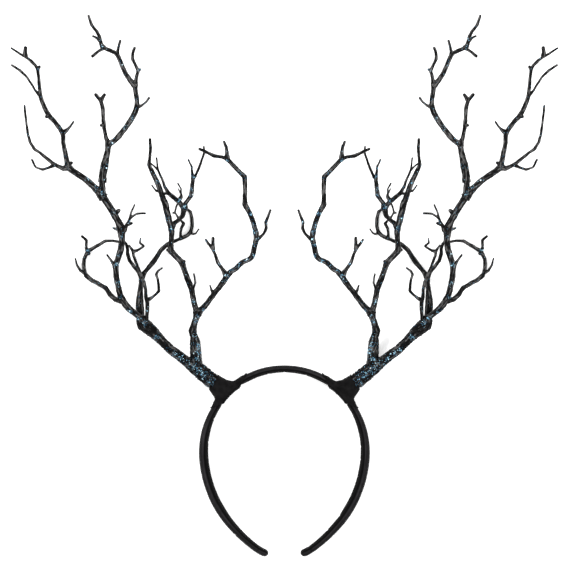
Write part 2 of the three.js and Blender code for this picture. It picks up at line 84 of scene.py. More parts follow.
INNER_ROWS = {
    "stem": ([62, 80, 75, 69, 50, 51, 42, 44], [13, 23],
        [(17, 7), (17, 18), (17.5, 28), (18, 39), (19, 45), (20.5, 50), (18.5, 58), (16, 66.5)]),
    "riser_low": ([42, 33, 35, 35, 35, 36, 36], [23, 27],
        [(16, 66.5), (19, 78), (21.5, 92), (27.5, 107), (31, 118), (38, 125.5), (42.5, 131)]),
    "riser_mid": ([36, 29, 34, 42, 42, 30, 29], [27, 40],
        [(42.5, 131), (42, 138), (41.5, 150), (44, 161), (47.5, 176), (52, 189), (56, 199)]),
    "riser_top": ([28, 25, 22, 18, 20, 17], [40, 53],
        [(56, 199), (61, 209.5), (64, 216), (63, 224), (62.5, 233), (63, 241.5)]),
    "riser_twig": ([14, 13, 10], [25, 36], [(20.7, 91), (17.6, 98), (19, 107)]),
    "riser_thorn": ([14, 12, 8], [36, 40], [(52.5, 190), (56.5, 190), (61, 195.7)]),
    "shoot": ([30, 24, 24, 26, 32], [29, 24],
        [(42, 153), (39, 157.5), (34, 161.5), (30.5, 165.5), (29, 172.5)]),
    "shoot_left": ([30, 26, 24, 19, 14, 12, 9], [24, 40],
        [(29, 172.5), (34.5, 179.5), (44, 187.5), (48, 194), (51.5, 203), (55, 211), (56.5, 223)]),
    "shoot_spur": ([11, 10, 9], [37, 39], [(55, 211), (59, 215), (63, 218)]),
    "shoot_bridge": ([16, 14, 18], [37, 29], [(51, 187), (47, 187.5), (43.5, 187)]),
    "shoot_loop": ([13, 12, 12, 13], [26, 29, 25], [(34, 162), (38, 168.5), (37, 174), (34.7, 179)]),
    "shoot_tuft": ([17, 20, 13, 9, 8], [26, 36],
        [(34.5, 180), (32, 184), (32.3, 188.5), (32, 192), (35, 197.5)]),
    "shoot_tuft_tip": ([9, 7], [31, 33], [(32.7, 188.5), (34.6, 192)]),
    "shoot_right": ([30, 22, 26, 24, 24], [24, 32],
        [(29, 172.5), (27.5, 177.5), (22, 185.5), (20.5, 197), (20, 203)]),
    "shoot_right_tip": ([18, 15, 13, 12], [32, 40], [(20, 203), (21, 209), (21.5, 214.5), (24.5, 221)]),
    "shoot_reach": ([18, 16, 15, 14, 13], [32, 40],
        [(20, 203), (18, 204.5), (14.5, 212), (8.7, 228.5), (9, 234)]),
    "loop_low": ([40, 33, 32, 32, 32, 38], [23, 42],
        [(16, 66.5), (13, 70.5), (8, 75), (-1, 87), (-11, 100), (-14, 105)]),
    "loop_mid": ([37, 31, 29, 30, 27, 31, 30, 33, 33], [42, 52],
        [(-14, 105), (-18, 109.5), (-23, 112.5), (-29, 118.5), (-36, 121.5), (-39.5, 125), (-41, 132),
         (-43, 141), (-43, 148)]),
    "loop_high": ([32, 30, 28, 31, 25, 28], [52, 55],
        [(-43, 148), (-41, 156.5), (-37, 167), (-32, 176.5), (-32, 190), (-31.5, 204)]),
    "loop_crest": ([28, 25, 26, 21, 22, 20, 16], [55, 48],
        [(-31.5, 204), (-25, 210.5), (-14, 222), (-8, 224), (-1, 225), (6, 228.5), (13.5, 232)]),
    "loop_spur": ([20, 13, 10], [33, 37], [(-1, 88), (1.5, 91), (3, 95.5)]),
    "loop_twig": ([26, 21, 22, 19, 20], [41, 43],
        [(-13, 106), (-9, 112.5), (-5, 118), (-2.3, 126), (0, 131.5)]),
    "loop_twig_left": ([17, 18, 15], [43, 41], [(0, 131.5), (3.5, 136), (7.3, 141)]),
    "loop_twig_up": ([19, 21, 19], [43, 48], [(0, 131.5), (0, 137), (0, 143)]),
    "rim_twig": ([20, 22, 17, 19, 19, 15], [51, 60],
        [(-43, 141), (-46.5, 143), (-50.5, 147), (-53, 152.5), (-53, 159), (-57.3, 170.5)]),
    "crest_twig": ([24, 22, 20, 16], [55, 61], [(-14, 222.5), (-14, 228.5), (-13, 234), (-11, 239)]),
}

OUTER_ROWS = {
    "foot": ([25, 33, 38, 42, 44, 42, 37], [34, 35, 36, 37, 38, 39, 40],
        [(71, 56), (72.3, 62.5), (78, 67.5), (83, 71.5), (87.5, 76.5), (91.5, 83), (94, 91)]),
    "crook": ([37, 37, 36, 39, 38, 41, 37], [40, 40],
        [(94, 91), (95.5, 98), (97, 107), (97.2, 115), (95, 123), (92.3, 131), (91, 140)]),
    "bole": ([38, 52, 55, 45, 47, 45, 46], [40, 52],
        [(91, 140), (91.4, 147), (92, 153), (95, 160), (100, 169), (104.4, 176), (109, 183)]),
    "spike": ([44, 40, 39, 26], [52, 55], [(109, 183), (110.2, 189.5), (110.8, 196), (110.3, 205)]),
    "arm": ([46, 48, 43, 41, 38, 37, 42], [52, 47],
        [(109, 183), (114.5, 189.5), (120, 195), (126, 200.5), (133, 205.3), (139.5, 209.5),
         (144.5, 214)]),
    "mast": ([36, 30, 26, 27, 25, 26, 29], [47, 56],
        [(144.5, 214), (146, 220), (149.3, 237), (150, 246), (152, 251), (158, 259), (164.5, 266)]),
    "mast_top": ([27, 26, 24, 19, 18], [56, 67],
        [(164.5, 266), (168.5, 274), (172, 283.5), (173, 292), (175, 311)]),
    "mast_tip": ([17, 16, 17, 14], [67, 71], [(175, 311), (177.5, 315.5), (182, 320), (186.7, 323.5)]),
    "tine": ([13, 12, 10], [71, 68], [(186.7, 323.5), (193, 327), (201, 332.5)]),
    "blunt_tine": ([18, 22, 21], [71, 76], [(187, 324), (187.6, 328), (187.1, 332.7)]),
    "low_twig": ([15, 13, 13, 14, 14, 10], [60, 50],
        [(173.2, 286), (177.5, 290.5), (182, 297.5), (187, 305), (193, 310.5), (201, 315.7)]),
    "side_twig": ([20, 17, 12, 10], [52, 58], [(149.3, 248.5), (146.5, 250.5), (143, 254), (139.5, 259)]),
    "sweep": ([30, 24, 22, 21, 18, 15, 16], [47, 32],
        [(144.5, 214), (149.5, 212.5), (155, 214.7), (160, 217.5), (165.5, 222), (173, 228),
         (178.5, 232)]),
    "sweep_tip": ([15, 15, 14, 13, 11], [32, 24],
        [(178.5, 232), (183, 239), (185.3, 248), (186.8, 259), (188.6, 275)]),
    "sweep_curl": ([16, 15, 13, 10, 12], [39, 29],
        [(159, 216), (163, 213.7), (170.5, 211.4), (177, 213.7), (181, 221)]),
    "hoop_low": ([26, 28, 27, 26, 25, 25, 26], [38, 8],
        [(92, 80.5), (97.5, 81.5), (103, 86.5), (107.5, 93), (114, 97), (121, 100.5), (127, 105.3)]),
    "hoop_side": ([22, 20, 21, 21, 21], [8, 0, 0, 0, 4],
        [(127, 105.3), (129, 110.5), (129.5, 117), (129, 122), (127, 126.5)]),
    "hoop_top": ([22, 25, 19, 20, 17, 14, 14], [4, 22],
        [(127, 126.5), (124.7, 130), (120, 132.7), (114, 136.5), (108, 140), (101, 140.2), (93, 139)]),
    "hoop_hook": ([16, 14, 14, 13], [6, 16],
        [(125.5, 129.5), (127, 133.5), (126.7, 140.5), (131, 144.7)]),
    "hoop_whip": ([16, 13, 12, 8], [4, 12], [(128.5, 108.5), (133, 110.7), (136, 115.7), (137.8, 122.5)]),
    "bud_twig": ([22, 12, 10], [40, 44], [(98, 115.5), (101, 119.5), (105.7, 126)]),
    "thorn": ([14, 12, 10], [43, 44], [(94, 151.5), (98, 152.2), (99.7, 153)]),
    "spray": ([26, 22, 17, 12], [42, 46], [(89.5, 150), (87, 154.5), (84.2, 159), (83, 163)]),
    "spray_up": ([10, 9, 8], [46, 50], [(83, 163), (81.7, 168.5), (78.5, 176)]),
    "spray_out": ([10, 10, 11], [46, 48], [(83, 163), (76, 167.2), (68, 167.6)]),
}

CROWN_ROWS = {
    "socket": ([58, 54, 53, 46, 36, 38], [54, 63],
        [(110.4, 198.7), (109.8, 206), (108.3, 216), (107, 222), (105.6, 228), (104, 235.5)]),
    "spar": ([36, 34, 34, 31, 32, 33, 31], [63, 77],
        [(104, 235.5), (100, 239.2), (94, 244.5), (88, 252), (82, 260.5), (77.5, 269), (76, 274)]),
    "spar_top": ([28, 27, 28, 32], [77, 82], [(76, 274), (76, 281), (77, 289), (77.5, 295)]),
    "spar_twig": ([17, 12, 11, 13], [77, 73], [(75.5, 273.5), (71, 275.3), (67, 278.5), (64, 282.6)]),
    "left_top": ([28, 27, 26, 25, 24], [82, 92],
        [(77.5, 295), (82, 299.5), (86.5, 306), (90.5, 314.5), (94, 323.5)]),
    "ridge": ([24, 22, 22, 24], [92, 95], [(94, 323.5), (97, 327.2), (102, 329.7), (109, 332.5)]),
    "ridge_twig": ([17, 15, 13], [92, 98], [(95.5, 325.5), (94.3, 332.5), (92.4, 339.5)]),
    "horn": ([24, 21, 17, 17, 16, 14], [95, 92],
        [(109, 332.5), (111.7, 337), (113.2, 344), (116, 349.5), (121, 355.5), (123.8, 364.5)]),
    "horn_twig": ([16, 12, 10], [95, 98], [(112.2, 339), (115.5, 342.2), (119.5, 344.2)]),
    "horn_spur": ([16, 15, 17], [95, 90], [(109, 332.5), (113.5, 329.8), (120, 324.3)]),
    "right_top": ([21, 18, 17], [82, 90], [(77.5, 295), (76.5, 302.5), (74.7, 310)]),
    "right_tip": ([16, 16, 17, 15, 15], [90, 99],
        [(74.7, 310), (77, 315), (80, 321.5), (80, 327), (78.2, 332.5)]),
    "left_low": ([30, 21, 21, 23, 23, 21], [63, 77],
        [(104, 235.5), (106.5, 242), (108.2, 250), (109.4, 260), (109.8, 271), (112, 280)]),
    "left_low_tip": ([20, 18], [77, 80], [(112, 280), (117, 286)]),
    "left_low_fork": ([18, 18], [77, 75], [(112, 280), (108.3, 285.8)]),
}

BACK_ROWS = {
    "foot": ([24, 44, 56, 51, 36, 28, 36], [27, 23, 22, 20, 18, 17, 16],
        [(70.5, 57), (71.8, 64.5), (73.2, 73), (73.4, 81), (72.7, 91), (72, 98), (71.4, 104)]),
    "left_strand": ([28, 23, 22, 22, 19, 17, 14], [16, 17],
        [(71.4, 104), (75, 109), (83.5, 121), (85.3, 126.5), (85.4, 132), (87, 137), (90, 140.5)]),
    "right_strand": ([30, 26, 31, 27, 26], [16, 10],
        [(71.4, 104), (68.5, 108.5), (59.5, 119.5), (52, 131), (46, 136.5)]),
    "under_strand": ([25, 20, 22, 21, 22], [10, 7, 4, 2, 0],
        [(46, 136.5), (40, 139.3), (32, 142.5), (26, 145.7), (22.5, 149)]),
    "rest_strand": ([20, 20, 20], [0, 0], [(22.5, 149), (21, 155), (21.3, 162)]),
    "rest_tip": ([19, 18, 13], [0, 6], [(21.3, 162), (23, 169), (26, 172)]),
    "up_twig": ([17, 14, 17, 17, 12], [4, 10],
        [(32, 142.5), (32.7, 147), (32, 152), (29.5, 157.5), (31.5, 160)]),
    "side_twig": ([12, 9, 8, 8], [1, 5], [(22.5, 148.5), (20, 147), (17.5, 147.7), (14.3, 152)]),
}

FRONT_ROWS = {
    "foot": ([18, 24, 25, 25, 23, 19, 18], [34, 36, 38, 39, 39, 38, 37],
        [(66.3, 56.5), (66, 63), (65.8, 71), (65.7, 78), (67, 84), (67.3, 91), (68.5, 97.5)]),
    "upper": ([18, 18, 16, 17, 11], [37, 36],
        [(68.5, 97.5), (73.8, 110.5), (79.4, 125), (80.2, 130), (83.7, 135.7)]),
    "hook": ([15, 14, 12, 13], [36, 40], [(80, 129.5), (76, 130.5), (72.5, 132.5), (69.3, 134.8)]),
    "hook_tip": ([12, 12, 7], [40, 43], [(69.3, 134.8), (72.8, 138.2), (72.4, 142.5)]),
    "arm": ([18, 17, 15, 19], [39, 46], [(65.8, 81), (62, 82.7), (58, 86), (54, 90.5)]),
    "arm_top": ([17, 14, 14, 13, 11], [46, 52],
        [(54, 90.5), (55, 101.5), (56.7, 106.5), (55, 110), (51, 113)]),
}

# Short stubs where a twig broke off, on the limb of the same name
INNER_NUBS = {
    "knee": ([38, 22], [20, 20], [(20.3, 49.5), (22.1, 49.8)]),
    "fork": ([36, 22], [23, 23], [(16.5, 66.5), (18, 68.5)]),
    "elbow": ([28, 16], [26, 26], [(31.5, 118.5), (29, 119.5)]),
    "crook": ([24, 14], [27, 27], [(43, 131.5), (45.5, 131)]),
    "loop": ([11, 8], [28, 28], [(38, 168.5), (40, 168)]),
}

OUTER_NUBS = {
    "mast": ([20, 14], [56, 56], [(164, 265), (166.2, 264.2)]),
    "tip": ([15, 12], [67, 67], [(174.7, 312), (173.4, 313.8)]),
    "arm": ([22, 14], [47, 47], [(144, 217), (141.5, 218)]),
    "hoop": ([18, 13], [5, 5], [(125.5, 129), (124.3, 127.3)]),
    "bole": ([24, 16], [48.5, 48.5], [(97.5, 167.5), (94, 170.5)]),
    "spray": ([15, 11], [44.5, 44.5], [(85, 156.5), (81.3, 157.7)]),
}

CROWN_NUBS = {
    "right": ([13, 9], [90, 90], [(75, 310.5), (72.5, 311)]),
    "left_low": ([15, 11], [70, 70], [(109.2, 255.5), (111.7, 255.5)]),
}

# Where glitter caught: chart cells out and up, how far the dab reaches in cells, and its strength
GLITTER_DABS = [
    (3, 0, 6, 0.66), (9, 5, 6, 0.68), (15, 9, 6, 0.66), (21, 14, 6, 0.66), (26, 19, 5, 0.66),
    (14, 29, 5, 1), (15, 35, 4, 1), (32, 23, 4, 0.88), (38, 27, 4, 1), (44, 31, 3, 0.88),
    (56, 44, 3.5, 1), (68, 58, 3.5, 0.88), (74, 63, 3, 0.75), (83, 70, 3.5, 0.85), (93, 84, 3, 0.75),
    (95, 97, 3.5, 0.85), (96, 116, 3.5, 0.85), (95, 127, 3, 0.75), (67, 93, 2.5, 0.75),
    (66, 71, 2.5, 0.75), (118, 99, 2.5, 0.75), (125, 130, 3, 0.88), (16, 65, 3, 1), (10, 71, 3, 1),
    (20, 80, 3, 1), (-12, 101, 3, 0.88), (-14, 105, 3, 1), (-18, 112, 3, 1), (-26, 115, 3, 0.75),
    (-34, 121, 3, 0.88), (-41, 125, 3, 1), (-42, 136, 3, 1), (-45, 142, 3, 0.88), (-42, 149, 3, 1),
    (-41, 156, 3, 0.88), (-37, 167, 3, 0.88), (-6, 117, 2.5, 0.75), (0, 131, 2.5, 0.75),
    (7, 140, 2.5, 0.75), (-53, 159, 2.5, 0.62), (42, 152, 3, 1), (46, 162, 3, 1), (29, 174, 3, 1),
    (34, 181, 2.5, 0.88), (48, 195, 3, 0.88), (55, 198, 3, 0.88), (22, 186, 3, 1), (22, 192, 3, 1),
    (20, 204, 3, 1), (21, 213, 2.5, 1), (25, 221, 2.5, 0.88), (18, 98, 2, 0.62), (81, 262, 3, 0.7),
    (88, 253, 3, 0.7), (101, 238, 3, 0.7), (106, 215, 3, 0.8), (110, 334, 2.5, 0.75),
    (112, 340, 2.5, 0.75), (91, 316, 2.5, 0.56), (74, 311, 2.5, 0.56), (126, 202, 3, 0.85),
    (117, 193, 3, 0.75), (110, 187, 3, 0.85), (188, 306, 2, 0.31), (175, 312, 2.5, 0.38),
    (84, 159, 2.5, 0.75), (101, 120, 2, 0.62), (147, 224, 2.5, 0.38), (152, 251, 2.5, 0.38),
    (99, 168, 3, 0.75), (91, 145, 3, 0.64), (-27, 208, 2.5, 0.7), (-32, 203, 2.5, 0.7),
    (-14, 220, 2.5, 0.7), (-16, 228, 2, 0.5), (57, 205, 2.5, 0.6), (20, 37, 3, 0.8), (17, 22, 4, 0.8),
    (18, 45, 3, 0.7), (17, 59, 2.5, 1), (9, 68, 2.5, 1),
]

NO_LENGTH = 1e-6

# How finely the pieces are drawn
RING_STEP = 0.65 * MM
SIDE_STEP = 0.55 * MM
FEWEST_SIDES = 8
MOST_SIDES = 44
TIP_RINGS = 4
BAND_STEP = 1.1 * MM
BAND_SIDES = 48

LEFT = 1
RIGHT = -1
SIDE_NAMES = {LEFT: "left", RIGHT: "right"}


def spread(values, share):
    """Reads part way along a list whose entries are spread evenly"""
    places = np.linspace(0, 1, len(values))
    return float(np.interp(share, places, values))


def band_reach(turn):
    """How far the band's middle line is from its centre at a turn"""
    return np.interp(turn, BAND_TURNS, BAND_REACHES) * PERCENT * BAND_RADIUS


def band_half(turn):
    """Half the band's thickness at a turn"""
    return np.interp(turn, BAND_TURNS, BAND_WALLS) * PERCENT * BAND_THICKNESS / 2


# The band's arc is centred under its crown, which the frame gives
BAND_CENTRE = Vector((0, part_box("band")[1][1] - BAND_RADIUS - band_half(0), 0))


def band_point(turn, radius, height=BAND_MIDDLE):
    """A place round the band, turned from the crown towards the left"""
    angle = math.radians(turn)
    return BAND_CENTRE + Vector((-radius * math.sin(angle), radius * math.cos(angle), height))


CHART_ZERO = band_point(ROOT_TURN, band_reach(ROOT_TURN) + band_half(ROOT_TURN) + ROOT_STANDOFF, 0)


def chart_point(cell, height=0.0):
    """A place on the left antler's chart"""
    across = cell[0] * ANTLER_SPREAD / CHART_ACROSS
    up = cell[1] * ANTLER_RISE / CHART_UP
    return CHART_ZERO + Vector((-across, up, height))


def add_mesh(name, points, faces, side=LEFT):
    """A smooth mesh object; the right side is the left one mirrored"""
    points = np.array(points, dtype=float)
    if side == RIGHT:
        points[:, 0] *= -1
        faces = [face[::-1] for face in faces]
    mesh = bpy.data.meshes.new(name)
    mesh.from_pydata(points.tolist(), [], faces)
    mesh.shade_smooth()
    mesh.update()
    piece = bpy.data.objects.new(name, mesh)
    bpy.context.scene.collection.objects.link(piece)
    return piece


def store(piece, name, values, kind):
    """Keeps one value or vector for each point of a piece, for its material to read"""
    field = "vector" if kind == "FLOAT_VECTOR" else "value"
    attribute = piece.data.attributes.new(name, kind, "POINT")
    attribute.data.foreach_set(field, np.asarray(values, dtype=np.float32).ravel())


def close_tube(rings, sides):
    """Faces of a tube of rings whose two end points follow the rings' points"""
    faces = []
    for ring in range(rings - 1):
        here = ring * sides
        for side in range(sides):
            ahead = (side + 1) % sides
            faces.append((here + side, here + ahead, here + sides + ahead, here + sides + side))
    last = (rings - 1) * sides
    start_point = rings * sides
    for side in range(sides):
        ahead = (side + 1) % sides
        faces.append((start_point, ahead, side))
        faces.append((start_point + 1, last + side, last + ahead))
    return faces


# Branches

# Room for the coat and bark of a limb that lies on the floor
FLOOR_ROOM = 0.45 * MM
JOIN_GAP = 0.3 * MM
# How near the run between two knots keeps to a straight line, 1 being straight
CRISPNESS = 0.65
# A knuckle at each bend: its swelling, the bend in degrees that gives all of it, and how far it reaches
KNUCKLE_SWELL = 0.16
KNUCKLE_FULL_BEND = 50
KNUCKLE_REACH = 1.1
KNUCKLE_MARGIN = 0.5 * MM
# A collar where a twig leaves its limb: its swelling and how far it reaches
COLLAR_SWELL = 0.45
COLLAR_REACH = 1.5
COLLAR_MARGIN = 0.9 * MM
# The radii between which the coat of paint and bark goes from a twig's to a branch's to a thick limb's
COAT_RADII = [1.1 * MM, 1.4 * MM, 1.8 * MM, 2.2 * MM]
THICK_LIMB_COAT = 0.08
WOBBLE = 0.16 * MM
WOBBLE_WAVE = 4.5 * MM
WOBBLE_SEED = 7.3
STEADY_END = 3 * MM
# Bark: its turn in radians for each metre, its depth, its grooves, lumps and rough grain
TWIST = 55
BARK_DEPTH = 0.06 * MM
BARK_SHARE = 0.12
GROOVE_WIDTH = 1.35 * MM
GROOVE_LENGTH = 9 * MM
GROOVE_CREST = 0.55
GROOVE_STEEPNESS = 2.6
LUMP_SIZE = 1.6 * MM
LUMP_SHARE = 0.5
ROUGH_SIZE = 0.9 * MM
ROUGH_SHARE = 0.8
# A smooth root run keeps this share of its bark, and the rest returns over this length
SMOOTH_SHARE = 0.15
SMOOTH_FADE = 4 * MM
ROOT_DOME = 0.3
# What sets the bark of each strand and limb apart
STRAND_SEED = 3.7
LIMB_SEED = 11.0
GRAIN_SHIFT = 10
DAB_SOFTNESS = 0.55


def knots_of(row):
    """A chart row's knots as places and radii"""
    girths, lifts, path = row
    knots = []
    for index, cell in enumerate(path):
        share = index / (len(path) - 1)
        radius = spread(girths, share) * PERCENT * TRUNK_DIAMETER / 2
        height = spread(lifts, share) * PERCENT * ANTLER_DEPTH
        knots.append((chart_point(cell, max(radius + FLOOR_ROOM, height)), radius))
    return knots


def strands_of(rows):
    """Rows that start where the row before them ends run on as one strand"""
    strands = []
    for row in rows.values():
        knots = knots_of(row)
        if strands and (strands[-1][-1][0] - knots[0][0]).length < JOIN_GAP:
            strands[-1].extend(knots[1:])
        else:
            strands.append(knots)
    return strands


def centripetal(before, start, end, after, share):
    """A place between start and end on a centripetal Catmull-Rom curve"""
    gap_before, gap, gap_after = (max(math.sqrt(line.length), NO_LENGTH)
                                  for line in (start - before, end - start, after - end))
    leave = (start - before) / gap_before - (end - before) / (gap_before + gap) + (end - start) / gap
    arrive = (end - start) / gap - (after - start) / (gap + gap_after) + (after - end) / gap_after
    leave *= gap
    arrive *= gap
    cubic = 2 * start - 2 * end + leave + arrive
    square = 3 * end - 3 * start - 2 * leave - arrive
    return start + leave * share + square * share ** 2 + cubic * share ** 3


def walk(knots, seed, coats):
    """Centres, radii and distances of a strand's rings, with crisp bends, knuckles and a slight wobble"""
    places = [place for place, radius in knots]
    before = 2 * places[0] - places[1]
    after = 2 * places[-1] - places[-2]
    padded = [before, *places, after]
    centres = []
    radii = []
    for index in range(len(places) - 1):
        previous, start, end, following = padded[index:index + 4]
        length = (end - start).length
        count = max(2, math.ceil(length / RING_STEP))
        bend = math.degrees((start - previous).angle(end - start)) if index else 0
        next_bend = math.degrees((end - start).angle(following - end))
        for step in range(count + (index == len(places) - 2)):
            share = step / count
            curved = centripetal(previous, start, end, following, share)
            straight = start.lerp(end, share)
            centres.append(curved.lerp(straight, CRISPNESS))
            radius = knots[index][1] * (1 - share) + knots[index + 1][1] * share
            reach = radius * KNUCKLE_REACH + KNUCKLE_MARGIN
            knuckle = 0
            for distance, turn in ((share * length, bend), ((1 - share) * length, next_bend)):
                knuckle += math.exp(-((distance / reach) ** 2)) * min(turn / KNUCKLE_FULL_BEND, 1)
            coat = MM * np.interp(radius, COAT_RADII, [coats[0], coats[1], coats[1], THICK_LIMB_COAT])
            radii.append(radius * (1 + KNUCKLE_SWELL * knuckle) + coat)
    along = np.concatenate([[0], np.cumsum([(b - a).length for a, b in zip(centres, centres[1:])])])
    for index, centre in enumerate(centres):
        ends = min(along[index], along[-1] - along[index]) / STEADY_END
        amount = WOBBLE * min(ends, 1)
        shift = noise.noise_vector(Vector((along[index] / WOBBLE_WAVE, seed * WOBBLE_SEED, 0.5)))
        centres[index] = centre + shift * amount
    return centres, np.array(radii), along


def frames_along(centres):
    """Across and below directions that turn as little as they can along a row of centres"""
    upright = Vector((0, 0, 1))
    across = None
    frames = []
    for index in range(len(centres)):
        tangent = centres[min(index + 1, len(centres) - 1)] - centres[max(index - 1, 0)]
        tangent.normalize()
        if across is None:
            across = tangent.cross(upright)
        across = (across - tangent * across.dot(tangent)).normalized()
        frames.append((tangent, across, tangent.cross(across)))
    return frames


def bark(angle, along, radius, seed, rough):
    """How far the bark stands out, as a share of its depth, at an angle and a distance along a strand"""
    twisted = angle + along * TWIST
    round_x = math.cos(twisted) * radius
    round_y = math.sin(twisted) * radius

    def pattern(width, length):
        return noise.noise(Vector((round_x / width, round_y / width, along / length + seed)))

    relief = GROOVE_CREST - abs(pattern(GROOVE_WIDTH, GROOVE_LENGTH)) * GROOVE_STEEPNESS
    relief += LUMP_SHARE * pattern(LUMP_SIZE, LUMP_SIZE)
    return relief + rough * ROUGH_SHARE * pattern(ROUGH_SIZE, ROUGH_SIZE)


def strand_skin(knots, seed, collared, smooth_until, limb):
    """One strand's points, faces, grain places and bark ridges"""
    centres, radii, along = walk(knots, seed, limb["coats"])
    frames = frames_along(centres)
    if collared:
        collar_reach = radii[0] * COLLAR_REACH + COLLAR_MARGIN
        radii = radii * (1 + COLLAR_SWELL * np.exp(-(along / collar_reach) ** 2))
    stations = [(centre, frame, radius, distance, 1.0)
                for centre, frame, radius, distance in zip(centres, frames, radii, along)]
    tip_radius = radii[-1]
    for ring in range(1, TIP_RINGS):
        angle = ring / TIP_RINGS * math.pi / 2
        beyond = tip_radius * math.sin(angle)
        centre = centres[-1] + frames[-1][0] * beyond
        fade = math.cos(angle)
        stations.append((centre, frames[-1], tip_radius * fade, along[-1] + beyond, fade))
    girth = 2 * math.pi * max(radii)
    sides = int(np.clip(round(girth / SIDE_STEP), FEWEST_SIDES, MOST_SIDES))
    points = []
    grain = []
    ridges = []
    for centre, (tangent, across, below), radius, distance, fade in stations:
        calm = fade
        if smooth_until:
            calm *= min(1, max(SMOOTH_SHARE, (distance - smooth_until) / SMOOTH_FADE))
        depth = (BARK_DEPTH + BARK_SHARE * radius) * calm
        grain_along = distance + seed * GRAIN_SHIFT * MM
        for side in range(sides):
            angle = side / sides * 2 * math.pi
            relief = bark(angle, distance, radius, seed, limb["rough"])
            ridges.append(relief)
            reach = radius + depth * relief
            points.append(centre + across * (reach * math.cos(angle)) + below * (reach * math.sin(angle)))
            grain.append((radius * math.cos(angle), radius * math.sin(angle), grain_along))
    points.append(centres[0] - frames[0][0] * radii[0] * ROOT_DOME)
    points.append(centres[-1] + frames[-1][0] * tip_radius)
    grain += [(0, 0, 0), (0, 0, along[-1])]
    ridges += [0, 0]
    return points, close_tube(len(stations), sides), grain, ridges


def glitter_strength(points):
    """How thickly glitter lies at each of the left antler's points, 0 to 1"""
    strength = np.zeros(len(points))
    for out, up, reach, amount in GLITTER_DABS:
        place = chart_point((out, up))
        size = reach * ANTLER_SPREAD / CHART_ACROSS
        squares = (points[:, 0] - place.x) ** 2 + (points[:, 1] - place.y) ** 2
        strength = np.maximum(strength, amount * np.exp(-squares / (2 * (DAB_SOFTNESS * size) ** 2)))
    return strength


# Each limb's rows and stubs, the run from its root that stays smooth, how rough its bark and how worn its
# ridges are, and the coats in millimetres that thicken its twigs and branches
LIMBS = {
    "trunk": {"rows": TRUNK_ROWS, "nubs": {}, "smooth": 0,
              "rough": 1.0, "worn": 0, "coats": (0.08, 0.08)},
    "inner_branch": {"rows": INNER_ROWS, "nubs": INNER_NUBS, "smooth": 0,
                     "rough": 0.5, "worn": 0.3, "coats": (0.14, 0.3)},
    "outer_limb": {"rows": OUTER_ROWS, "nubs": OUTER_NUBS, "smooth": 0,
                   "rough": 0.3, "worn": 0.3, "coats": (0.28, 0.28)},
    "crown_branch": {"rows": CROWN_ROWS, "nubs": CROWN_NUBS, "smooth": 0,
                     "rough": 0.2, "worn": 0.45, "coats": (0.3, 0.32)},
    "back_sprig": {"rows": BACK_ROWS, "nubs": {}, "smooth": 26 * MM,
                   "rough": 0.1, "worn": 0.2, "coats": (0.2, 0.2)},
    "front_sprig": {"rows": FRONT_ROWS, "nubs": {}, "smooth": 0,
                    "rough": 0.1, "worn": 0.2, "coats": (0.18, 0.18)},
}


def build_limb(limb, first_seed):
    """All of a limb's strands and stubs, as points, faces, grain places and bark ridges"""
    points = []
    faces = []
    grain = []
    ridges = []
    strands = strands_of(limb["rows"]) + strands_of(limb["nubs"])
    for number, knots in enumerate(strands):
        smooth_until = limb["smooth"] if number == 0 else 0
        skin = strand_skin(knots, first_seed + number * STRAND_SEED, number > 0, smooth_until, limb)
        start = len(points)
        points += skin[0]
        faces += [tuple(start + corner for corner in face) for face in skin[1]]
        grain += skin[2]
        ridges += skin[3]
    return np.array(points), faces, np.array(grain), ridges


FLAKE_SIZES = (0.2 * MM, 0.68 * MM)
FLAKE_LIFT = 0.05 * MM
FLAKE_TILT = 0.32
FLAKE_CORNERS = 6
FLAKES_PER_SQUARE_MM = 1.3
FLAKE_SCATTER = 0.2 * MM
FLAKE_BEVEL = 0.88
# Flakes gather where the glitter is strong and on faces that look up, and most of them are small
FLAKE_GATHERING = 2.2
FACING_ROOM = 0.45
LEAST_FACING = 0.06
SMALLNESS = 1.8
# A flake's tint, whose pale end is a painted glint: its least, how much chance adds and how much its size
# adds
FLAKE_TINTS_AND_GLINTS = (0.15, 0.4, 0.5)


def face_values(mesh, name, width):
    """A value or vector of each face of a mesh, as rows"""
    values = np.empty(len(mesh.polygons) * width)
    mesh.polygons.foreach_get(name, values)
    return values.reshape(-1, width)


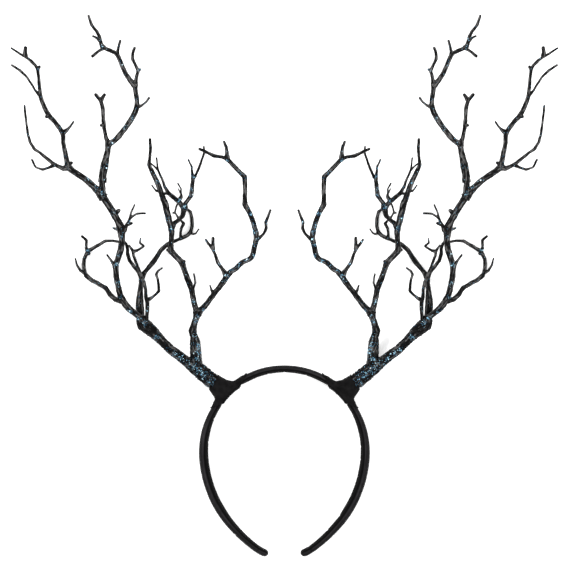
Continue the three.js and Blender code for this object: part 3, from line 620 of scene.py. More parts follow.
def scatter_flakes(name, limb_piece, strength, random):
    """Small hexagonal glitter flakes stuck to a limb where its glitter lies"""
    mesh = limb_piece.data
    centres = face_values(mesh, "center", 3)
    normals = face_values(mesh, "normal", 3)
    areas = face_values(mesh, "area", 1)[:, 0]
    facing = np.clip(normals[:, 2] + FACING_ROOM, LEAST_FACING, 1)
    weights = areas * facing * strength ** FLAKE_GATHERING
    count = int(weights.sum() / MM ** 2 * FLAKES_PER_SQUARE_MM)
    if count == 0:
        return None
    chosen = random.choice(len(weights), size=count, p=weights / weights.sum())
    points = []
    faces = []
    tints_and_glints = []
    for face_index in chosen:
        normal = Vector(normals[face_index])
        tilted = (normal + Vector(random.normal(0, FLAKE_TILT, 3))).normalized()
        across = tilted.orthogonal().normalized()
        below = tilted.cross(across)
        centre = Vector(centres[face_index]) + Vector(random.normal(0, FLAKE_SCATTER, 3))
        growth = random.random() ** SMALLNESS
        size = FLAKE_SIZES[0] + (FLAKE_SIZES[1] - FLAKE_SIZES[0]) * growth
        turn = random.random() * math.pi
        # Bigger flakes get a paler tint, a painted glint
        tint_and_glint = FLAKE_TINTS_AND_GLINTS[0] + FLAKE_TINTS_AND_GLINTS[1] * random.random() + FLAKE_TINTS_AND_GLINTS[2] * growth
        start = len(points)
        for lift, scale in ((-FLAKE_LIFT, 1), (FLAKE_LIFT, FLAKE_BEVEL)):
            for corner in range(FLAKE_CORNERS):
                angle = turn + corner / FLAKE_CORNERS * 2 * math.pi
                reach = size * scale
                rim = across * (reach * math.cos(angle)) + below * (reach * math.sin(angle))
                points.append(centre + rim + tilted * (lift + FLAKE_LIFT))
                tints_and_glints.append(tint_and_glint)
        lower = list(range(start, start + FLAKE_CORNERS))
        upper = list(range(start + FLAKE_CORNERS, start + 2 * FLAKE_CORNERS))
        faces.append(tuple(upper))
        faces.append(tuple(reversed(lower)))
        for corner in range(FLAKE_CORNERS):
            ahead = (corner + 1) % FLAKE_CORNERS
            faces.append((lower[corner], lower[ahead], upper[ahead], upper[corner]))
    flakes = add_mesh(name, points, faces)
    flakes.data.shade_flat()
    store(flakes, "tint_and_glint", tints_and_glints, "FLOAT")
    return flakes


# Cloth

# The cloth settles at a larger scale, because the simulation suits larger pieces
SETTLE_SCALE = 20
SETTLE_FRAMES = 16
CLOTH_SETTINGS = {
    "quality": 5,
    "mass": 0.2,
    "tension_stiffness": 15,
    "compression_stiffness": 15,
    "shear_stiffness": 5,
    "bending_stiffness": 0.1,
    "pin_stiffness": 1,
}
NO_SHIFT = 1e-9


def settle(piece, held, growth, pressure, limit):
    """Lets a piece's cloth, cut too long by growth, buckle by up to limit; held is 1 where it is sewn fast"""
    mesh = piece.data
    rest = np.empty(len(mesh.vertices) * 3)
    mesh.vertices.foreach_get("co", rest)
    mesh.vertices.foreach_set("co", rest * SETTLE_SCALE)
    group = piece.vertex_groups.new(name="held")
    for index, weight in enumerate(held):
        group.add([index], float(weight), "REPLACE")
    cloth = piece.modifiers.new("settle", "CLOTH")
    for setting, value in CLOTH_SETTINGS.items():
        setattr(cloth.settings, setting, value)
    cloth.settings.vertex_group_mass = "held"
    cloth.settings.shrink_min = -growth
    cloth.settings.use_pressure = pressure != 0
    cloth.settings.uniform_pressure_force = pressure
    cloth.settings.effector_weights.gravity = 0
    cloth.collision_settings.use_collision = False
    cloth.point_cache.frame_start = 1
    cloth.point_cache.frame_end = SETTLE_FRAMES
    for frame_number in range(1, SETTLE_FRAMES + 1):
        bpy.context.scene.frame_set(frame_number)
    depsgraph = bpy.context.evaluated_depsgraph_get()
    settled = np.empty(len(rest))
    piece.evaluated_get(depsgraph).data.vertices.foreach_get("co", settled)
    shift = (settled / SETTLE_SCALE - rest).reshape(-1, 3)
    reach = np.linalg.norm(shift, axis=1, keepdims=True)
    shift *= limit * np.tanh(reach / limit) / np.maximum(reach, NO_SHIFT)
    piece.modifiers.clear()
    piece.vertex_groups.clear()
    mesh.vertices.foreach_set("co", rest + shift.ravel())
    mesh.update()
    bpy.context.scene.frame_set(1)


# Band

# The seam along each edge, where the outer cloth meets the inner strip, with a raised shoulder beside it
SEAM_PLACE = -0.6 * MM
SEAM_DEPTH = 0.38 * MM
SEAM_WIDTH = 0.35 * MM
SEAM_WANDER = 0.4 * MM
SEAM_WANDER_LENGTH = 30 * MM
SEAM_SHOULDER = 0.9 * MM
SHOULDER_WIDTH = 0.6 * MM
SHOULDER_SHARE = 0.4
STRIP_STEP = 0.22 * MM
# The fold across each end of the band
END_FOLD = 8 * MM
END_FOLD_WIDTH = 0.5 * MM
END_FOLD_SHARE = 0.5
# Slack, pressure, play and hold of the band's cloth as it settles
BAND_SLACK = 0.03
BAND_PRESSURE = 3
BAND_PUFF = 0.22 * MM
BAND_HOLD = 0.06
# Soft folds and puckers in the cloth, most of them on the band's edges
FOLD_DEPTH = 0.2 * MM
FOLD_WIDTH = 1.5 * MM
FOLD_LENGTH = 24 * MM
PUCKER_DEPTH = 0.09 * MM
PUCKER_LENGTH = 2.4 * MM
FOLD_SEED = 9
PUCKER_SEED = 5
FACE_RELIEF = 0.4
FACE_SHIFT = 8 * MM
EDGE_FOCUS = 3
# How much relief makes one step of the band's painted shade and painted highlight
RELIEF_SHADING_UNIT = 0.35 * MM
# The band's section, its tips and where the wraps squeeze it
BAND_SQUARENESS = 2.7
BAND_COVER = 0.12 * MM
BAND_TIP_RINGS = 8
TIP_STRETCH = 1.05
TIP_DOME = 0.02
SQUEEZE = 0.4 * MM
SQUEEZE_TURNS = [27, 33, 51, 55]
# The band's route is laid out at many places, and smoothed over this many on either side
ROUTE_PLACES = 700
ROUTE_SMOOTHING = 20


def superellipse(angle, wide, high, squareness):
    """A place on a rounded rectangle's rim"""
    cosine = math.cos(angle)
    sine = math.sin(angle)
    power = 2 / squareness
    return (math.copysign(abs(cosine) ** power, cosine) * wide,
            math.copysign(abs(sine) ** power, sine) * high)


def squeeze(turn):
    """How much a wrap presses the band's padding in at a turn"""
    return SQUEEZE * float(np.interp(abs(turn), SQUEEZE_TURNS, [0, 1, 1, 0]))


def strip_share(across, along):
    """How far a place lies on the inner strip's side of the wandering seam, 0 to 1, and its way from it"""
    wander = SEAM_WANDER * noise.noise(Vector((along / SEAM_WANDER_LENGTH, 3.1, 1)))
    off_seam = across - SEAM_PLACE - wander
    return 0.5 - 0.5 * math.tanh(off_seam / SEAM_WIDTH), abs(off_seam)


def bump_at(distance, width):
    """1 where the distance is none, fading over a width on both sides"""
    return math.exp(-((distance / width) ** 2))


def cover_relief(across, along, edge, from_end):
    """How far the band's cloth stands out: a seam along each edge, soft long folds and small puckers"""
    share, off_seam = strip_share(across, along)
    seam = -SEAM_DEPTH * bump_at(off_seam, SEAM_WIDTH) - STRIP_STEP * share
    seam += SHOULDER_SHARE * SEAM_DEPTH * bump_at(off_seam - SEAM_SHOULDER, SHOULDER_WIDTH)
    fold_place = Vector((across / FOLD_WIDTH, along / FOLD_LENGTH, edge * FOLD_SEED))
    pucker_place = Vector((across / (2 * FOLD_WIDTH), along / PUCKER_LENGTH, edge * PUCKER_SEED))
    folds = FOLD_DEPTH * noise.noise(fold_place) + PUCKER_DEPTH * noise.noise(pucker_place)
    crease = -END_FOLD_SHARE * SEAM_DEPTH * bump_at(from_end - END_FOLD, END_FOLD_WIDTH)
    return seam + folds + crease


def build_band():
    """The padded, cloth-covered band, swept from the left tip over the crown to the right tip"""
    turns = np.linspace(BAND_TURNS[-1], -BAND_TURNS[-1], ROUTE_PLACES)
    reaches = np.pad(band_reach(np.abs(turns)), ROUTE_SMOOTHING, "edge")
    kernel = np.hanning(2 * ROUTE_SMOOTHING + 1)
    reaches = np.convolve(reaches, kernel / kernel.sum(), "valid")
    route = [band_point(turn, reach) for turn, reach in zip(turns, reaches)]
    length = np.concatenate([[0], np.cumsum([(b - a).length for a, b in zip(route, route[1:])])])
    count = round(length[-1] / BAND_STEP)
    even = np.linspace(0, length[-1], count)
    xs = np.interp(even, length, [place.x for place in route])
    ys = np.interp(even, length, [place.y for place in route])
    even_turns = np.interp(even, length, turns)
    stations = []
    for index in range(count):
        ahead = min(index + 1, count - 1)
        behind = max(index - 1, 0)
        tangent = Vector((xs[ahead] - xs[behind], ys[ahead] - ys[behind], 0)).normalized()
        half = band_half(abs(even_turns[index])) + BAND_COVER - squeeze(even_turns[index])
        stations.append((Vector((xs[index], ys[index], BAND_MIDDLE)), tangent, half, 1.0))
    tip_half = band_half(BAND_TURNS[-1])
    start, end = stations[0], stations[-1]
    for ring in range(1, BAND_TIP_RINGS):
        angle = ring / BAND_TIP_RINGS * math.pi / 2
        beyond = tip_half * TIP_STRETCH * math.sin(angle)
        scale = math.cos(angle)
        stations.insert(0, (start[0] - start[1] * beyond, start[1], tip_half, scale))
        stations.append((end[0] + end[1] * beyond, end[1], tip_half, scale))
    points = []
    cloth = []
    strip = []
    held = []
    shade = []
    travelled = 0
    last_centre = stations[0][0]
    for centre, tangent, half, scale in stations:
        travelled += (centre - last_centre).length
        last_centre = centre
        from_end = min(travelled, length[-1] + 2 * tip_half - travelled)
        outward = Vector((tangent.y, -tangent.x, 0))
        if outward.dot(centre - BAND_CENTRE) < 0:
            outward = -outward
        rim_length = 0
        last_rim = None
        for side in range(BAND_SIDES):
            angle = side / BAND_SIDES * 2 * math.pi
            tall = BAND_WIDTH / 2 * math.sqrt(scale)
            thick, high = superellipse(angle, half * scale, tall, BAND_SQUARENESS)
            on_edge = abs(math.sin(angle)) ** EDGE_FOCUS
            edge = 1 if math.sin(angle) > 0 else 2
            relief = cover_relief(thick, travelled, edge, from_end) * on_edge * scale
            face_relief = cover_relief(high + FACE_SHIFT, travelled, 3, from_end)
            relief += (1 - on_edge) * FACE_RELIEF * face_relief * scale
            share, off_seam = strip_share(thick, travelled)
            strip.append(share)
            sewn = bump_at(off_seam, 2 * SEAM_WIDTH) * on_edge
            # The relief is kept to paint shade into the cloth's hollows and highlight onto its raised parts
            shade.append(relief / RELIEF_SHADING_UNIT)
            held.append(max(BAND_HOLD, sewn, 1 - scale))
            normal = (outward * math.cos(angle) + Vector((0, 0, math.sin(angle)))).normalized()
            rim = (thick, high)
            if last_rim:
                rim_length += math.dist(rim, last_rim)
            last_rim = rim
            points.append(centre + outward * thick + Vector((0, 0, high)) + normal * relief)
            cloth.append((rim_length, travelled, 0))
    points.append(stations[0][0] - stations[0][1] * tip_half * TIP_DOME)
    points.append(stations[-1][0] + stations[-1][1] * tip_half * TIP_DOME)
    cloth += [(0, 0, 0), (0, travelled, 0)]
    band = add_mesh("band_cover", points, close_tube(len(stations), BAND_SIDES))
    store(band, "cloth", cloth, "FLOAT_VECTOR")
    store(band, "strip", strip + [0, 0], "FLOAT")
    # The relief attribute carries painted shade and painted highlight for the satin's colour
    store(band, "relief", shade + [0, 0], "FLOAT")
    settle(band, held + [1, 1], BAND_SLACK, BAND_PRESSURE, BAND_PUFF)
    return band


# Wraps

# How far a wrap's sleeve stands off the band, at turns of the band
WRAP_TURNS = [25, 38, 50, 54, 61]
WRAP_OUTSIDES = [0.95, 1.4, 1.8, 1.65, 0.35]
WRAP_INSIDE = 0.9 * MM
WRAP_ABOVE = 1.1 * MM
WRAP_CLOTH = 0.6 * MM
WRAP_VOXEL = 0.55 * MM
WRAP_SMOOTHING = 10
WRAP_ROUNDING = 0.5
WRAP_FOLD_DEPTH = 0.32 * MM
WRAP_FOLD_WIDTH = 3.2 * MM
WRAP_FOLD_LENGTH = 8 * MM
FOLD_RUN = 0.1
WRAP_FINE_FOLDS = 0.5
WRAP_FINENESS = 2.1
WRAP_EDGE_FRAY = 0.14 * MM
WRAP_FRAY_SIZE = 0.9 * MM
WRAP_EDGE_ROUNDING = 40
WRAP_SLACK = 0.07
WRAP_PRESSURE = -2
WRAP_PUFF = 0.3 * MM
WRAP_HOLD = 0.04
HEM_INSET = 1.4 * MM
HEM_WIDTH = 0.35 * MM
HEM_DEPTH = 0.2 * MM
SLEEVE_SQUARENESS = 3
FUNNEL_SQUARENESS = 2.6
SLEEVE_TURNS = (20, 64)
FOOT_TURN = 44.7
SLEEVE_RINGS = 24
WRAP_SIDES = 28
# The funnel from the band to its mouth: share of the way, half width and half height
FUNNEL = [(-0.1, 9, 5.9), (0.25, 9, 6.3), (0.5, 7.7, 6.3), (0.72, 6.9, 6.2), (1, 6.1, 5.9),
          (1.35, 6.1, 5.9)]
MOUTH_CORNERS = ((-4, 6.6), (4.3, -7.2))
MOUTH_LEAN = 0.3
# Each edge of the wrap as two turns and radii of the band between which it is cut
UPPER_CUT = ((26, 64.2 * MM), (34.6, 57.4 * MM))
LOWER_CUT = ((59.5, 63.6 * MM), (51.4, 57 * MM))
# A place inside all the cuts, this far out from the band's middle
WRAP_HEART = 5 * MM


def wrap_outside(turn):
    """How far a wrap's outer side stands off the band at a turn"""
    return np.interp(turn, WRAP_TURNS, WRAP_OUTSIDES) * MM


def tube_points(stations, squareness):
    """Rings of a tube from (centre, across, half width, half height), with its two end points"""
    points = []
    upright = Vector((0, 0, 1))
    for centre, across, wide, high in stations:
        for side in range(WRAP_SIDES):
            angle = side / WRAP_SIDES * 2 * math.pi
            x, z = superellipse(angle, wide, high, squareness)
            points.append(centre + across * x + upright * z)
    points.append(stations[0][0])
    points.append(stations[-1][0])
    return points


def apply_modifiers(piece):
    """Applies a piece's modifiers to its mesh"""
    depsgraph = bpy.context.evaluated_depsgraph_get()
    shaped = bpy.data.meshes.new_from_object(piece.evaluated_get(depsgraph))
    piece.modifiers.clear()
    old = piece.data
    piece.data = shaped
    bpy.data.meshes.remove(old)


def inward_of(first, second, middle):
    """The level direction square to the line through two places, towards middle's side of it"""
    across = Vector((second.y - first.y, first.x - second.x, 0)).normalized()
    return across if across.dot(middle - first) > 0 else -across


def cut_wrap(wrap):
    """Trims a wrap to its three edges, each a little ragged"""
    middle = band_point(ROOT_TURN, BAND_RADIUS + WRAP_HEART)
    cuts = [[band_point(*corner) for corner in UPPER_CUT],
            [band_point(*corner) for corner in LOWER_CUT],
            [chart_point(cell, BAND_MIDDLE) for cell in MOUTH_CORNERS]]
    editor = bmesh.new()
    editor.from_mesh(wrap.data)
    for (first, second), lean in zip([*cuts, cuts[-1]], (0, 0, MOUTH_LEAN, -MOUTH_LEAN)):
        normal = Vector((0, 0, lean)) - inward_of(first, second, middle)
        bmesh.ops.bisect_plane(editor, geom=editor.verts[:] + editor.edges[:] + editor.faces[:],
                               dist=NO_LENGTH, plane_co=first, plane_no=normal, clear_outer=True)
    rim = [vertex for vertex in editor.verts if vertex.is_boundary]
    beside = [[edge.other_vert(vertex) for edge in vertex.link_edges if edge.is_boundary] for vertex in rim]
    for _ in range(WRAP_EDGE_ROUNDING):
        middles = [sum((other.co for other in others), Vector()) / len(others) for others in beside]
        for vertex, between in zip(rim, middles):
            vertex.co = vertex.co.lerp(between, 0.5)
    for vertex in rim:
        place = vertex.co
        first, second = min(cuts, key=lambda cut: abs(inward_of(*cut, middle).dot(place - cut[0])))
        vertex.co += inward_of(first, second, middle) * WRAP_EDGE_FRAY * noise.noise(place / WRAP_FRAY_SIZE)
    editor.to_mesh(wrap.data)
    editor.free()


def hem_share(place):
    """How deep a place lies in the groove beside the wrap's inner edge, 0 to 1"""
    radial = (place - BAND_CENTRE).to_2d()
    turn = math.degrees(math.atan2(-radial.x, radial.y))
    inside = radial.length - (band_reach(turn) - band_half(turn) - WRAP_INSIDE)
    return bump_at(inside - HEM_INSET, HEM_WIDTH)


def fold_wrap(wrap):
    """Soft folds in a wrap's cloth, running from the band to the branch"""
    wrap.data.update()
    normals = [vertex.normal.copy() for vertex in wrap.data.vertices]
    middle = band_point(ROOT_TURN, BAND_RADIUS)
    root = chart_point((0, 0))
    outward = (root - root.lerp(BAND_CENTRE, FOLD_RUN)).normalized()
    sideways = Vector((-outward.y, outward.x, 0))
    for vertex, normal in zip(wrap.data.vertices, normals):
        offset = vertex.co - middle
        stretched = Vector((offset.dot(sideways) / WRAP_FOLD_WIDTH, offset.dot(outward) / WRAP_FOLD_LENGTH,
                            offset.z / WRAP_FOLD_WIDTH))
        height = noise.noise(stretched) + WRAP_FINE_FOLDS * noise.noise(stretched * WRAP_FINENESS)
        vertex.co += normal * (WRAP_FOLD_DEPTH * height - HEM_DEPTH * hem_share(vertex.co) * abs(normal.z))


def rim_points(piece):
    """Which points lie on the open edges of a piece"""
    editor = bmesh.new()
    editor.from_mesh(piece.data)
    found = [vertex.is_boundary for vertex in editor.verts]
    editor.free()
    return found


def build_wrap(name):
    """A cloth wrap: a sleeve on the band and a funnel on the branch's root, cut with ragged edges"""
    sleeve = []
    for ring in range(SLEEVE_RINGS):
        turn = SLEEVE_TURNS[0] + (SLEEVE_TURNS[1] - SLEEVE_TURNS[0]) * ring / (SLEEVE_RINGS - 1)
        outside = wrap_outside(turn)
        centre = band_point(turn, band_reach(turn) + (outside - WRAP_INSIDE) / 2)
        outward = (band_point(turn, BAND_RADIUS) - band_point(turn, 0)).normalized()
        wide = band_half(turn) + (outside + WRAP_INSIDE) / 2
        sleeve.append((centre, outward, wide, BAND_WIDTH / 2 + WRAP_ABOVE))
    corners = [chart_point(cell, BAND_MIDDLE) for cell in MOUTH_CORNERS]
    mouth = (corners[0] + corners[1]) / 2
    mouth_across = (corners[1] - corners[0]).normalized()
    foot = band_point(FOOT_TURN, band_reach(FOOT_TURN))
    foot_across = band_point(FOOT_TURN + 90, 1) - band_point(0, 0)
    foot_across = Vector((foot_across.x, foot_across.y, 0)).normalized()
    funnel = []
    for share, wide, high in FUNNEL:
        centre = foot.lerp(mouth, share) if share < 1 else mouth + (mouth - foot) * (share - 1)
        across = foot_across.lerp(mouth_across, min(max(share, 0), 1)).normalized()
        funnel.append((centre, across, wide * MM, high * MM))
    sleeve_points = tube_points(sleeve, SLEEVE_SQUARENESS)
    funnel_points = tube_points(funnel, FUNNEL_SQUARENESS)
    faces = close_tube(len(sleeve), WRAP_SIDES)
    shift = len(sleeve_points)
    faces += [tuple(shift + corner for corner in face) for face in close_tube(len(funnel), WRAP_SIDES)]
    wrap = add_mesh(name, sleeve_points + funnel_points, faces)
    remesh = wrap.modifiers.new("join", "REMESH")
    remesh.mode = "VOXEL"
    remesh.voxel_size = WRAP_VOXEL
    smooth = wrap.modifiers.new("round", "SMOOTH")
    smooth.factor = WRAP_ROUNDING
    smooth.iterations = WRAP_SMOOTHING
    apply_modifiers(wrap)
    cut_wrap(wrap)
    fold_wrap(wrap)
    held = [1 if on_rim else WRAP_HOLD for on_rim in rim_points(wrap)]
    settle(wrap, held, WRAP_SLACK, WRAP_PRESSURE, WRAP_PUFF)
    wall = wrap.modifiers.new("cloth", "SOLIDIFY")
    wall.thickness = WRAP_CLOTH
    wall.offset = -1
    apply_modifiers(wrap)
    # The groove beside the inner edge is kept for painted shade on the felt
    store(wrap, "hem_groove_shade", [hem_share(vertex.co) for vertex in wrap.data.vertices], "FLOAT")
    return wrap


# Camera, light and floor

PHOTO_WIDTH = 423.4 * MM
CAMERA_HEIGHT = 16
CAMERA_CENTRE = (2.64 * MM, -1.0 * MM)
SENSOR_WIDTH = 36
CLIP_START = 0.1
FLOOR_SIZE = 8
FLOOR_DROP = 0.3 * MM
FLOOR_GLOW = 0.42


def add_camera():
    """A far camera straight above the part, as in the photograph"""
    data = bpy.data.cameras.new("photo_camera")
    data.sensor_width = SENSOR_WIDTH
    data.lens = SENSOR_WIDTH * CAMERA_HEIGHT / PHOTO_WIDTH
    data.clip_start = CLIP_START
    data.clip_end = 4 * CAMERA_HEIGHT
    camera = bpy.data.objects.new("photo_camera", data)
    camera.location = (*CAMERA_CENTRE, CAMERA_HEIGHT)
    bpy.context.scene.collection.objects.link(camera)
    bpy.context.scene.camera = camera


def add_light(name, place, size, energy):
    """A square light that looks at the middle of the part"""
    data = bpy.data.lights.new(name, "AREA")
    data.size = size
    data.energy = energy
    light = bpy.data.objects.new(name, data)
    light.location = place
    light.rotation_euler = (-Vector(place)).to_track_quat("-Z", "Y").to_euler()
    bpy.context.scene.collection.objects.link(light)


def add_world(horizon, zenith):
    """A soft white dome, brighter overhead than at its rim"""
    world = bpy.data.worlds.new("studio")
    world.use_nodes = True
    nodes = world.node_tree.nodes
    links = world.node_tree.links
    place = nodes.new("ShaderNodeTexCoord")
    split = nodes.new("ShaderNodeSeparateXYZ")
    ramp = nodes.new("ShaderNodeValToRGB")
    ramp.color_ramp.elements[0].color = (horizon, horizon, horizon, 1)
    ramp.color_ramp.elements[1].color = (zenith, zenith, zenith, 1)
    links.new(place.outputs["Generated"], split.inputs["Vector"])
    links.new(split.outputs["Z"], ramp.inputs["Fac"])
    links.new(ramp.outputs["Color"], nodes["Background"].inputs["Color"])
    bpy.context.scene.world = world


def add_floor(material):
    """A wide floor just under the part"""
    half = FLOOR_SIZE / 2
    corners = [(-half, -half), (half, -half), (half, half), (-half, half)]
    floor = add_mesh("floor", [(*corner, -FLOOR_DROP) for corner in corners], [(0, 1, 2, 3)])
    floor.data.materials.append(material)


# Materials

class Look:
    """A material's node tree, with short ways to add and join nodes"""

    def __init__(self, name, roughness, metallic=0.0, specular=0.5):
        self.material = bpy.data.materials.new(name)
        self.material.use_nodes = True
        self.nodes = self.material.node_tree.nodes
        self.links = self.material.node_tree.links
        self.shader = self.nodes["Principled BSDF"]
        self.shader.inputs["Roughness"].default_value = roughness
        self.shader.inputs["Metallic"].default_value = metallic
        self.shader.inputs["Specular IOR Level"].default_value = specular

    def add(self, kind, values=None, **settings):
        node = self.nodes.new(kind)
        for setting, value in settings.items():
            setattr(node, setting, value)
        self.fill(node, values or {})
        return node

    def fill(self, node, values):
        """Joins or sets a node's inputs, by name or number"""
        for socket, value in values.items():
            if isinstance(value, bpy.types.NodeSocket):
                self.links.new(value, node.inputs[socket])
            else:
                node.inputs[socket].default_value = value

    def attribute(self, name, output="Vector"):
        return self.add("ShaderNodeAttribute", attribute_name=name).outputs[output]

    def math(self, operation, *values):
        return self.add("ShaderNodeMath", dict(enumerate(values)), operation=operation).outputs["Value"]

    def scaled(self, vector, scale):
        mapping = self.add("ShaderNodeMapping", {"Vector": vector, "Scale": scale})
        return mapping.outputs["Vector"]

    def noise(self, vector, scale, detail=3.0):
        node = self.add("ShaderNodeTexNoise", {"Vector": vector, "Scale": scale, "Detail": detail})
        return node.outputs["Fac"]

    def ramp(self, factor, stops):
        node = self.add("ShaderNodeValToRGB", {"Fac": factor})
        elements = node.color_ramp.elements
        while len(elements) < len(stops):
            elements.new(0.5)
        for element, (position, colour) in zip(elements, stops):
            element.position = position
            element.color = (*colour, 1)
        return node.outputs["Color"]

    def mix(self, factor, first, second):
        """Mixes two colours; a colour mix has its factor, colours and result at these numbers"""
        node = self.add("ShaderNodeMix", data_type="RGBA")
        self.fill(node, {0: factor, 6: first, 7: second})
        return node.outputs[2]

    def bump(self, height, distance, strength=1.0, normal=None):
        values = {"Height": height, "Distance": distance, "Strength": strength}
        if normal:
            values["Normal"] = normal
        return self.add("ShaderNodeBump", values).outputs["Normal"]

    def set(self, socket, source):
        self.links.new(source, self.shader.inputs[socket])


def greys(*stops):
    """Colour stops of a ramp from pairs of a position and a grey level"""
    return [(position, (level, level, level)) for position, level in stops]


FLOOR_SPOTS = 6.0
# Glitter's own blues, rising to a near-white end that is a painted glint
GLITTER_AND_GLINT_STOPS = [(0.0, (0.006, 0.036, 0.08)), (0.3, (0.03, 0.13, 0.25)), (0.58, (0.13, 0.35, 0.52)),
                 (0.82, (0.42, 0.7, 0.84)), (1.0, (0.85, 0.96, 1.0))]
# Bark tones from grooves in painted shade to pale crests of wear and painted highlight
BARK_STOPS = [(0.3, (0.0004, 0.0004, 0.0005)), (0.52, (0.002, 0.002, 0.0022)),
              (0.68, (0.02, 0.02, 0.0205)), (0.85, (0.1, 0.098, 0.097))]
OUTER_STOPS = [(0, (0.001, 0.001, 0.001)), (0.5, (0.0095, 0.009, 0.0098)), (0.9, (0.031, 0.029, 0.032))]
INNER_STOPS = [(0, (0.0005, 0.0005, 0.0005)), (0.5, (0.004, 0.0038, 0.0041)),
               (0.9, (0.013, 0.0125, 0.0135))]
FELT_STOPS = [(0.3, (0.0035, 0.0033, 0.0035)), (0.7, (0.0095, 0.0091, 0.0093))]
# Painted shade in the groove beside a wrap's inner edge
HEM_SHADE_COLOUR = (0.001, 0.001, 0.001, 1)
# Patterns across, through and along each piece, in waves for each metre
WRINKLES = (2200, 2200, 260)
PITS = (3200, 3200, 3200)
WORN_PATCHES = (1000, 1000, 170)
DUST_CELLS = 1500.0
CLOTH_PATCHES = (300, 40, 1)
CLOTH_GRAIN = (1500, 1500, 1)
FELT_FIBRES = 2600.0
FELT_PATCHES = 260.0
THREAD_SPACING = 0.45 * MM
# Depths of relief that bends the light without moving the surface
WRINKLE_DEPTH = 0.35 * MM
PIT_DEPTH = 0.12 * MM
WEAVE_DEPTH = 0.06 * MM
GRAIN_DEPTH = 0.1 * MM
FELT_DEPTH = 0.25 * MM
# How much ridges pale the bark, as wear and as painted highlight with painted shade in the grooves, how much
# worn patches pale it, and how much of it glitter dust covers
RIDGE_WEAR_AND_SHADE_SHARE = 0.35
WORN_SHARE = 2.2
WORN_START = -0.65
DUST_SIZE = 0.36
DUST_SHARE = 0.65
LEAST_DUST = 0.03
DUST_TINT_AND_GLINT = 0.9
DUST_METAL = 0.75
# How the band's relief sets painted shade in its seams and folds and painted highlight on its raised parts,
# and how its patches set its tone
RELIEF_SHADING_SHARE = 0.45
RELIEF_SHADING_START = 0.25
PATCH_SHARE = 0.5


def floor_look():
    """Pale, slightly spotted paper that glows a little, so that shadows on it stay faint"""
    look = Look("pale_floor", roughness=0.9, specular=0.2)
    look.shader.inputs["Emission Color"].default_value = (1, 1, 1, 1)
    look.shader.inputs["Emission Strength"].default_value = FLOOR_GLOW
    spot = look.noise(look.add("ShaderNodeTexCoord").outputs["Object"], FLOOR_SPOTS)
    look.set("Base Color", look.ramp(spot, greys((0.3, 0.92), (0.7, 0.95))))
    return look.material


def branch_look():
    """Semi-gloss black plastic with long bark wrinkles, ridges paled by wear and painted highlight, grooves
    darkened by painted shade, and fine blue glitter dust
    """
    look = Look("bark_plastic", roughness=0.4, specular=0.08)
    grain = look.attribute("grain")
    wrinkle = look.noise(look.scaled(grain, WRINKLES), 1.0, 4.0)
    pits = look.noise(look.scaled(grain, PITS), 1.0, 2.0)
    worn = look.noise(look.scaled(grain, WORN_PATCHES), 1.0, 4.0)
    # Ridge crests paler and grooves darker: wear together with painted highlight and painted shade
    raised = look.math("MULTIPLY", look.attribute("ridge", "Fac"), RIDGE_WEAR_AND_SHADE_SHARE)
    wear_and_relief_shading = look.math("ADD", raised, look.math("MULTIPLY_ADD", worn, WORN_SHARE, WORN_START))
    base = look.ramp(wear_and_relief_shading, BARK_STOPS)
    strength = look.attribute("glitter", "Fac")
    speck = look.add("ShaderNodeTexVoronoi", {"Vector": grain, "Scale": DUST_CELLS})
    speck_colour = look.add("ShaderNodeSeparateColor", {"Color": speck.outputs["Color"]})
    near = look.math("LESS_THAN", speck.outputs["Distance"], DUST_SIZE)
    share = look.math("MULTIPLY_ADD", strength, DUST_SHARE, LEAST_DUST)
    mask = look.math("MULTIPLY", near, look.math("LESS_THAN", speck_colour.outputs["Red"], share))
    # Dust specks take the same blues, the palest of them a painted glint
    dust = look.ramp(look.math("MULTIPLY", speck_colour.outputs["Green"], DUST_TINT_AND_GLINT), GLITTER_AND_GLINT_STOPS)
    look.set("Base Color", look.mix(mask, base, dust))
    look.set("Metallic", look.math("MULTIPLY", mask, DUST_METAL))
    look.set("Roughness", look.ramp(pits, greys((0.3, 0.3), (0.7, 0.5))))
    normal = look.bump(wrinkle, WRINKLE_DEPTH, 0.8)
    look.set("Normal", look.bump(pits, PIT_DEPTH, 0.5, normal))
    return look.material


def flake_look():
    """Glitter flakes from deep blue, their own colour, to a pale blue that is a painted glint"""
    look = Look("blue_glitter", roughness=0.3, metallic=0.35)
    look.set("Base Color", look.ramp(look.attribute("tint_and_glint", "Fac"), GLITTER_AND_GLINT_STOPS))
    return look.material


def cloth_look(name, sheen):
    """The start of a dull black cloth, with a soft sheen"""
    look = Look(name, roughness=0.8, specular=0.05)
    look.shader.inputs["Sheen Weight"].default_value = sheen
    look.shader.inputs["Sheen Roughness"].default_value = 0.4
    return look


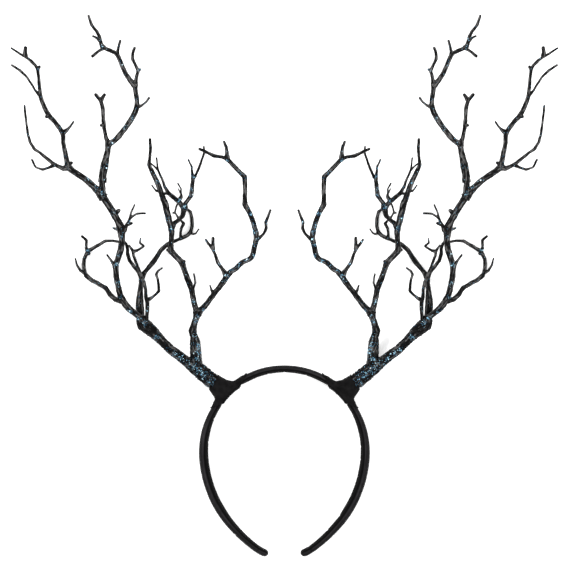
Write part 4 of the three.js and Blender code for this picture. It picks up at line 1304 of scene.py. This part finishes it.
def band_look():
    """Black satin with a fine diagonal weave, darker on the inner strip, with painted shade in its seams and
    folds and painted highlight on their raised shoulders
    """
    look = cloth_look("band_satin", 0.05)
    cloth = look.attribute("cloth")
    place = look.add("ShaderNodeSeparateXYZ", {"Vector": cloth})
    threads = []
    for slant in ("ADD", "SUBTRACT"):
        slanted = look.math(slant, place.outputs["X"], place.outputs["Y"])
        wave = look.math("MULTIPLY", slanted, 2 * math.pi / THREAD_SPACING)
        threads.append(look.math("SINE", wave))
    patch = look.noise(look.scaled(cloth, CLOTH_PATCHES), 1.0, 3.0)
    fine = look.noise(look.scaled(cloth, CLOTH_GRAIN), 1.0, 2.0)
    # Painted shade in seams and folds, painted highlight on raised shoulders
    raised = look.math("MULTIPLY_ADD", look.attribute("relief", "Fac"), RELIEF_SHADING_SHARE, RELIEF_SHADING_START)
    level = look.math("ADD", raised, look.math("MULTIPLY", patch, PATCH_SHARE))
    outer = look.ramp(level, OUTER_STOPS)
    inner = look.ramp(level, INNER_STOPS)
    look.set("Base Color", look.mix(look.attribute("strip", "Fac"), outer, inner))
    look.set("Roughness", look.ramp(fine, greys((0.3, 0.62), (0.7, 0.85))))
    normal = look.bump(look.math("MULTIPLY", *threads), WEAVE_DEPTH, 0.6)
    look.set("Normal", look.bump(fine, GRAIN_DEPTH, 0.3, normal))
    return look.material


def wrap_look():
    """Matte black felt, with painted shade in the groove beside its inner edge"""
    look = cloth_look("wrap_felt", 0.03)
    coords = look.add("ShaderNodeTexCoord").outputs["Object"]
    fibre = look.noise(coords, FELT_FIBRES, 4.0)
    felt = look.ramp(look.noise(coords, FELT_PATCHES, 3.0), FELT_STOPS)
    look.set("Base Color", look.mix(look.attribute("hem_groove_shade", "Fac"), felt, HEM_SHADE_COLOUR))
    look.set("Roughness", look.ramp(fibre, greys((0.3, 0.88), (0.7, 1))))
    look.set("Normal", look.bump(fibre, FELT_DEPTH, 0.7))
    return look.material


bpy.context.scene.view_settings.view_transform = "Standard"
add_camera()
add_world(horizon=0.35, zenith=1.0)
add_light("key", place=(-1.4, 1.2, 2.2), size=0.6, energy=55)
add_light("fill", place=(1.5, -0.9, 2.0), size=1.2, energy=30)
add_floor(floor_look())

bark_plastic = branch_look()
glitter = flake_look()
satin = band_look()
felt = wrap_look()

band = build_band()
band.data.materials.append(satin)
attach(band, "root")
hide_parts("band")

random = np.random.default_rng(SEED)
for limb_number, (limb_name, limb) in enumerate(LIMBS.items()):
    limb_points, limb_faces, limb_grain, limb_ridges = build_limb(limb, LIMB_SEED * (limb_number + 1))
    strength = glitter_strength(limb_points)
    for side, side_name in SIDE_NAMES.items():
        piece = add_mesh(f"{side_name}_{limb_name}_bark", limb_points, limb_faces, side)
        piece.data.materials.append(bark_plastic)
        store(piece, "grain", limb_grain, "FLOAT_VECTOR")
        store(piece, "glitter", strength, "FLOAT")
        # The ridge value paints the bark: paler crests as wear and painted highlight, darker grooves as
        # painted shade
        store(piece, "ridge", [ridge + limb["worn"] for ridge in limb_ridges], "FLOAT")
        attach(piece, "root")
        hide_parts(f"{side_name}_{limb_name}")
        face_strength = np.array([strength[list(face)].mean() for face in limb_faces])
        flakes = scatter_flakes(f"{side_name}_{limb_name}_glitter", piece, face_strength, random)
        if flakes:
            flakes.data.materials.append(glitter)
            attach(flakes, "root")

for side, side_name in SIDE_NAMES.items():
    wrap = build_wrap(f"{side_name}_wrap_cloth")
    wrap.data.materials.append(felt)
    if side == RIGHT:
        for vertex in wrap.data.vertices:
            vertex.co.x *= -1
        wrap.data.flip_normals()
    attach(wrap, "root")
    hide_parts(f"{side_name}_wrap")
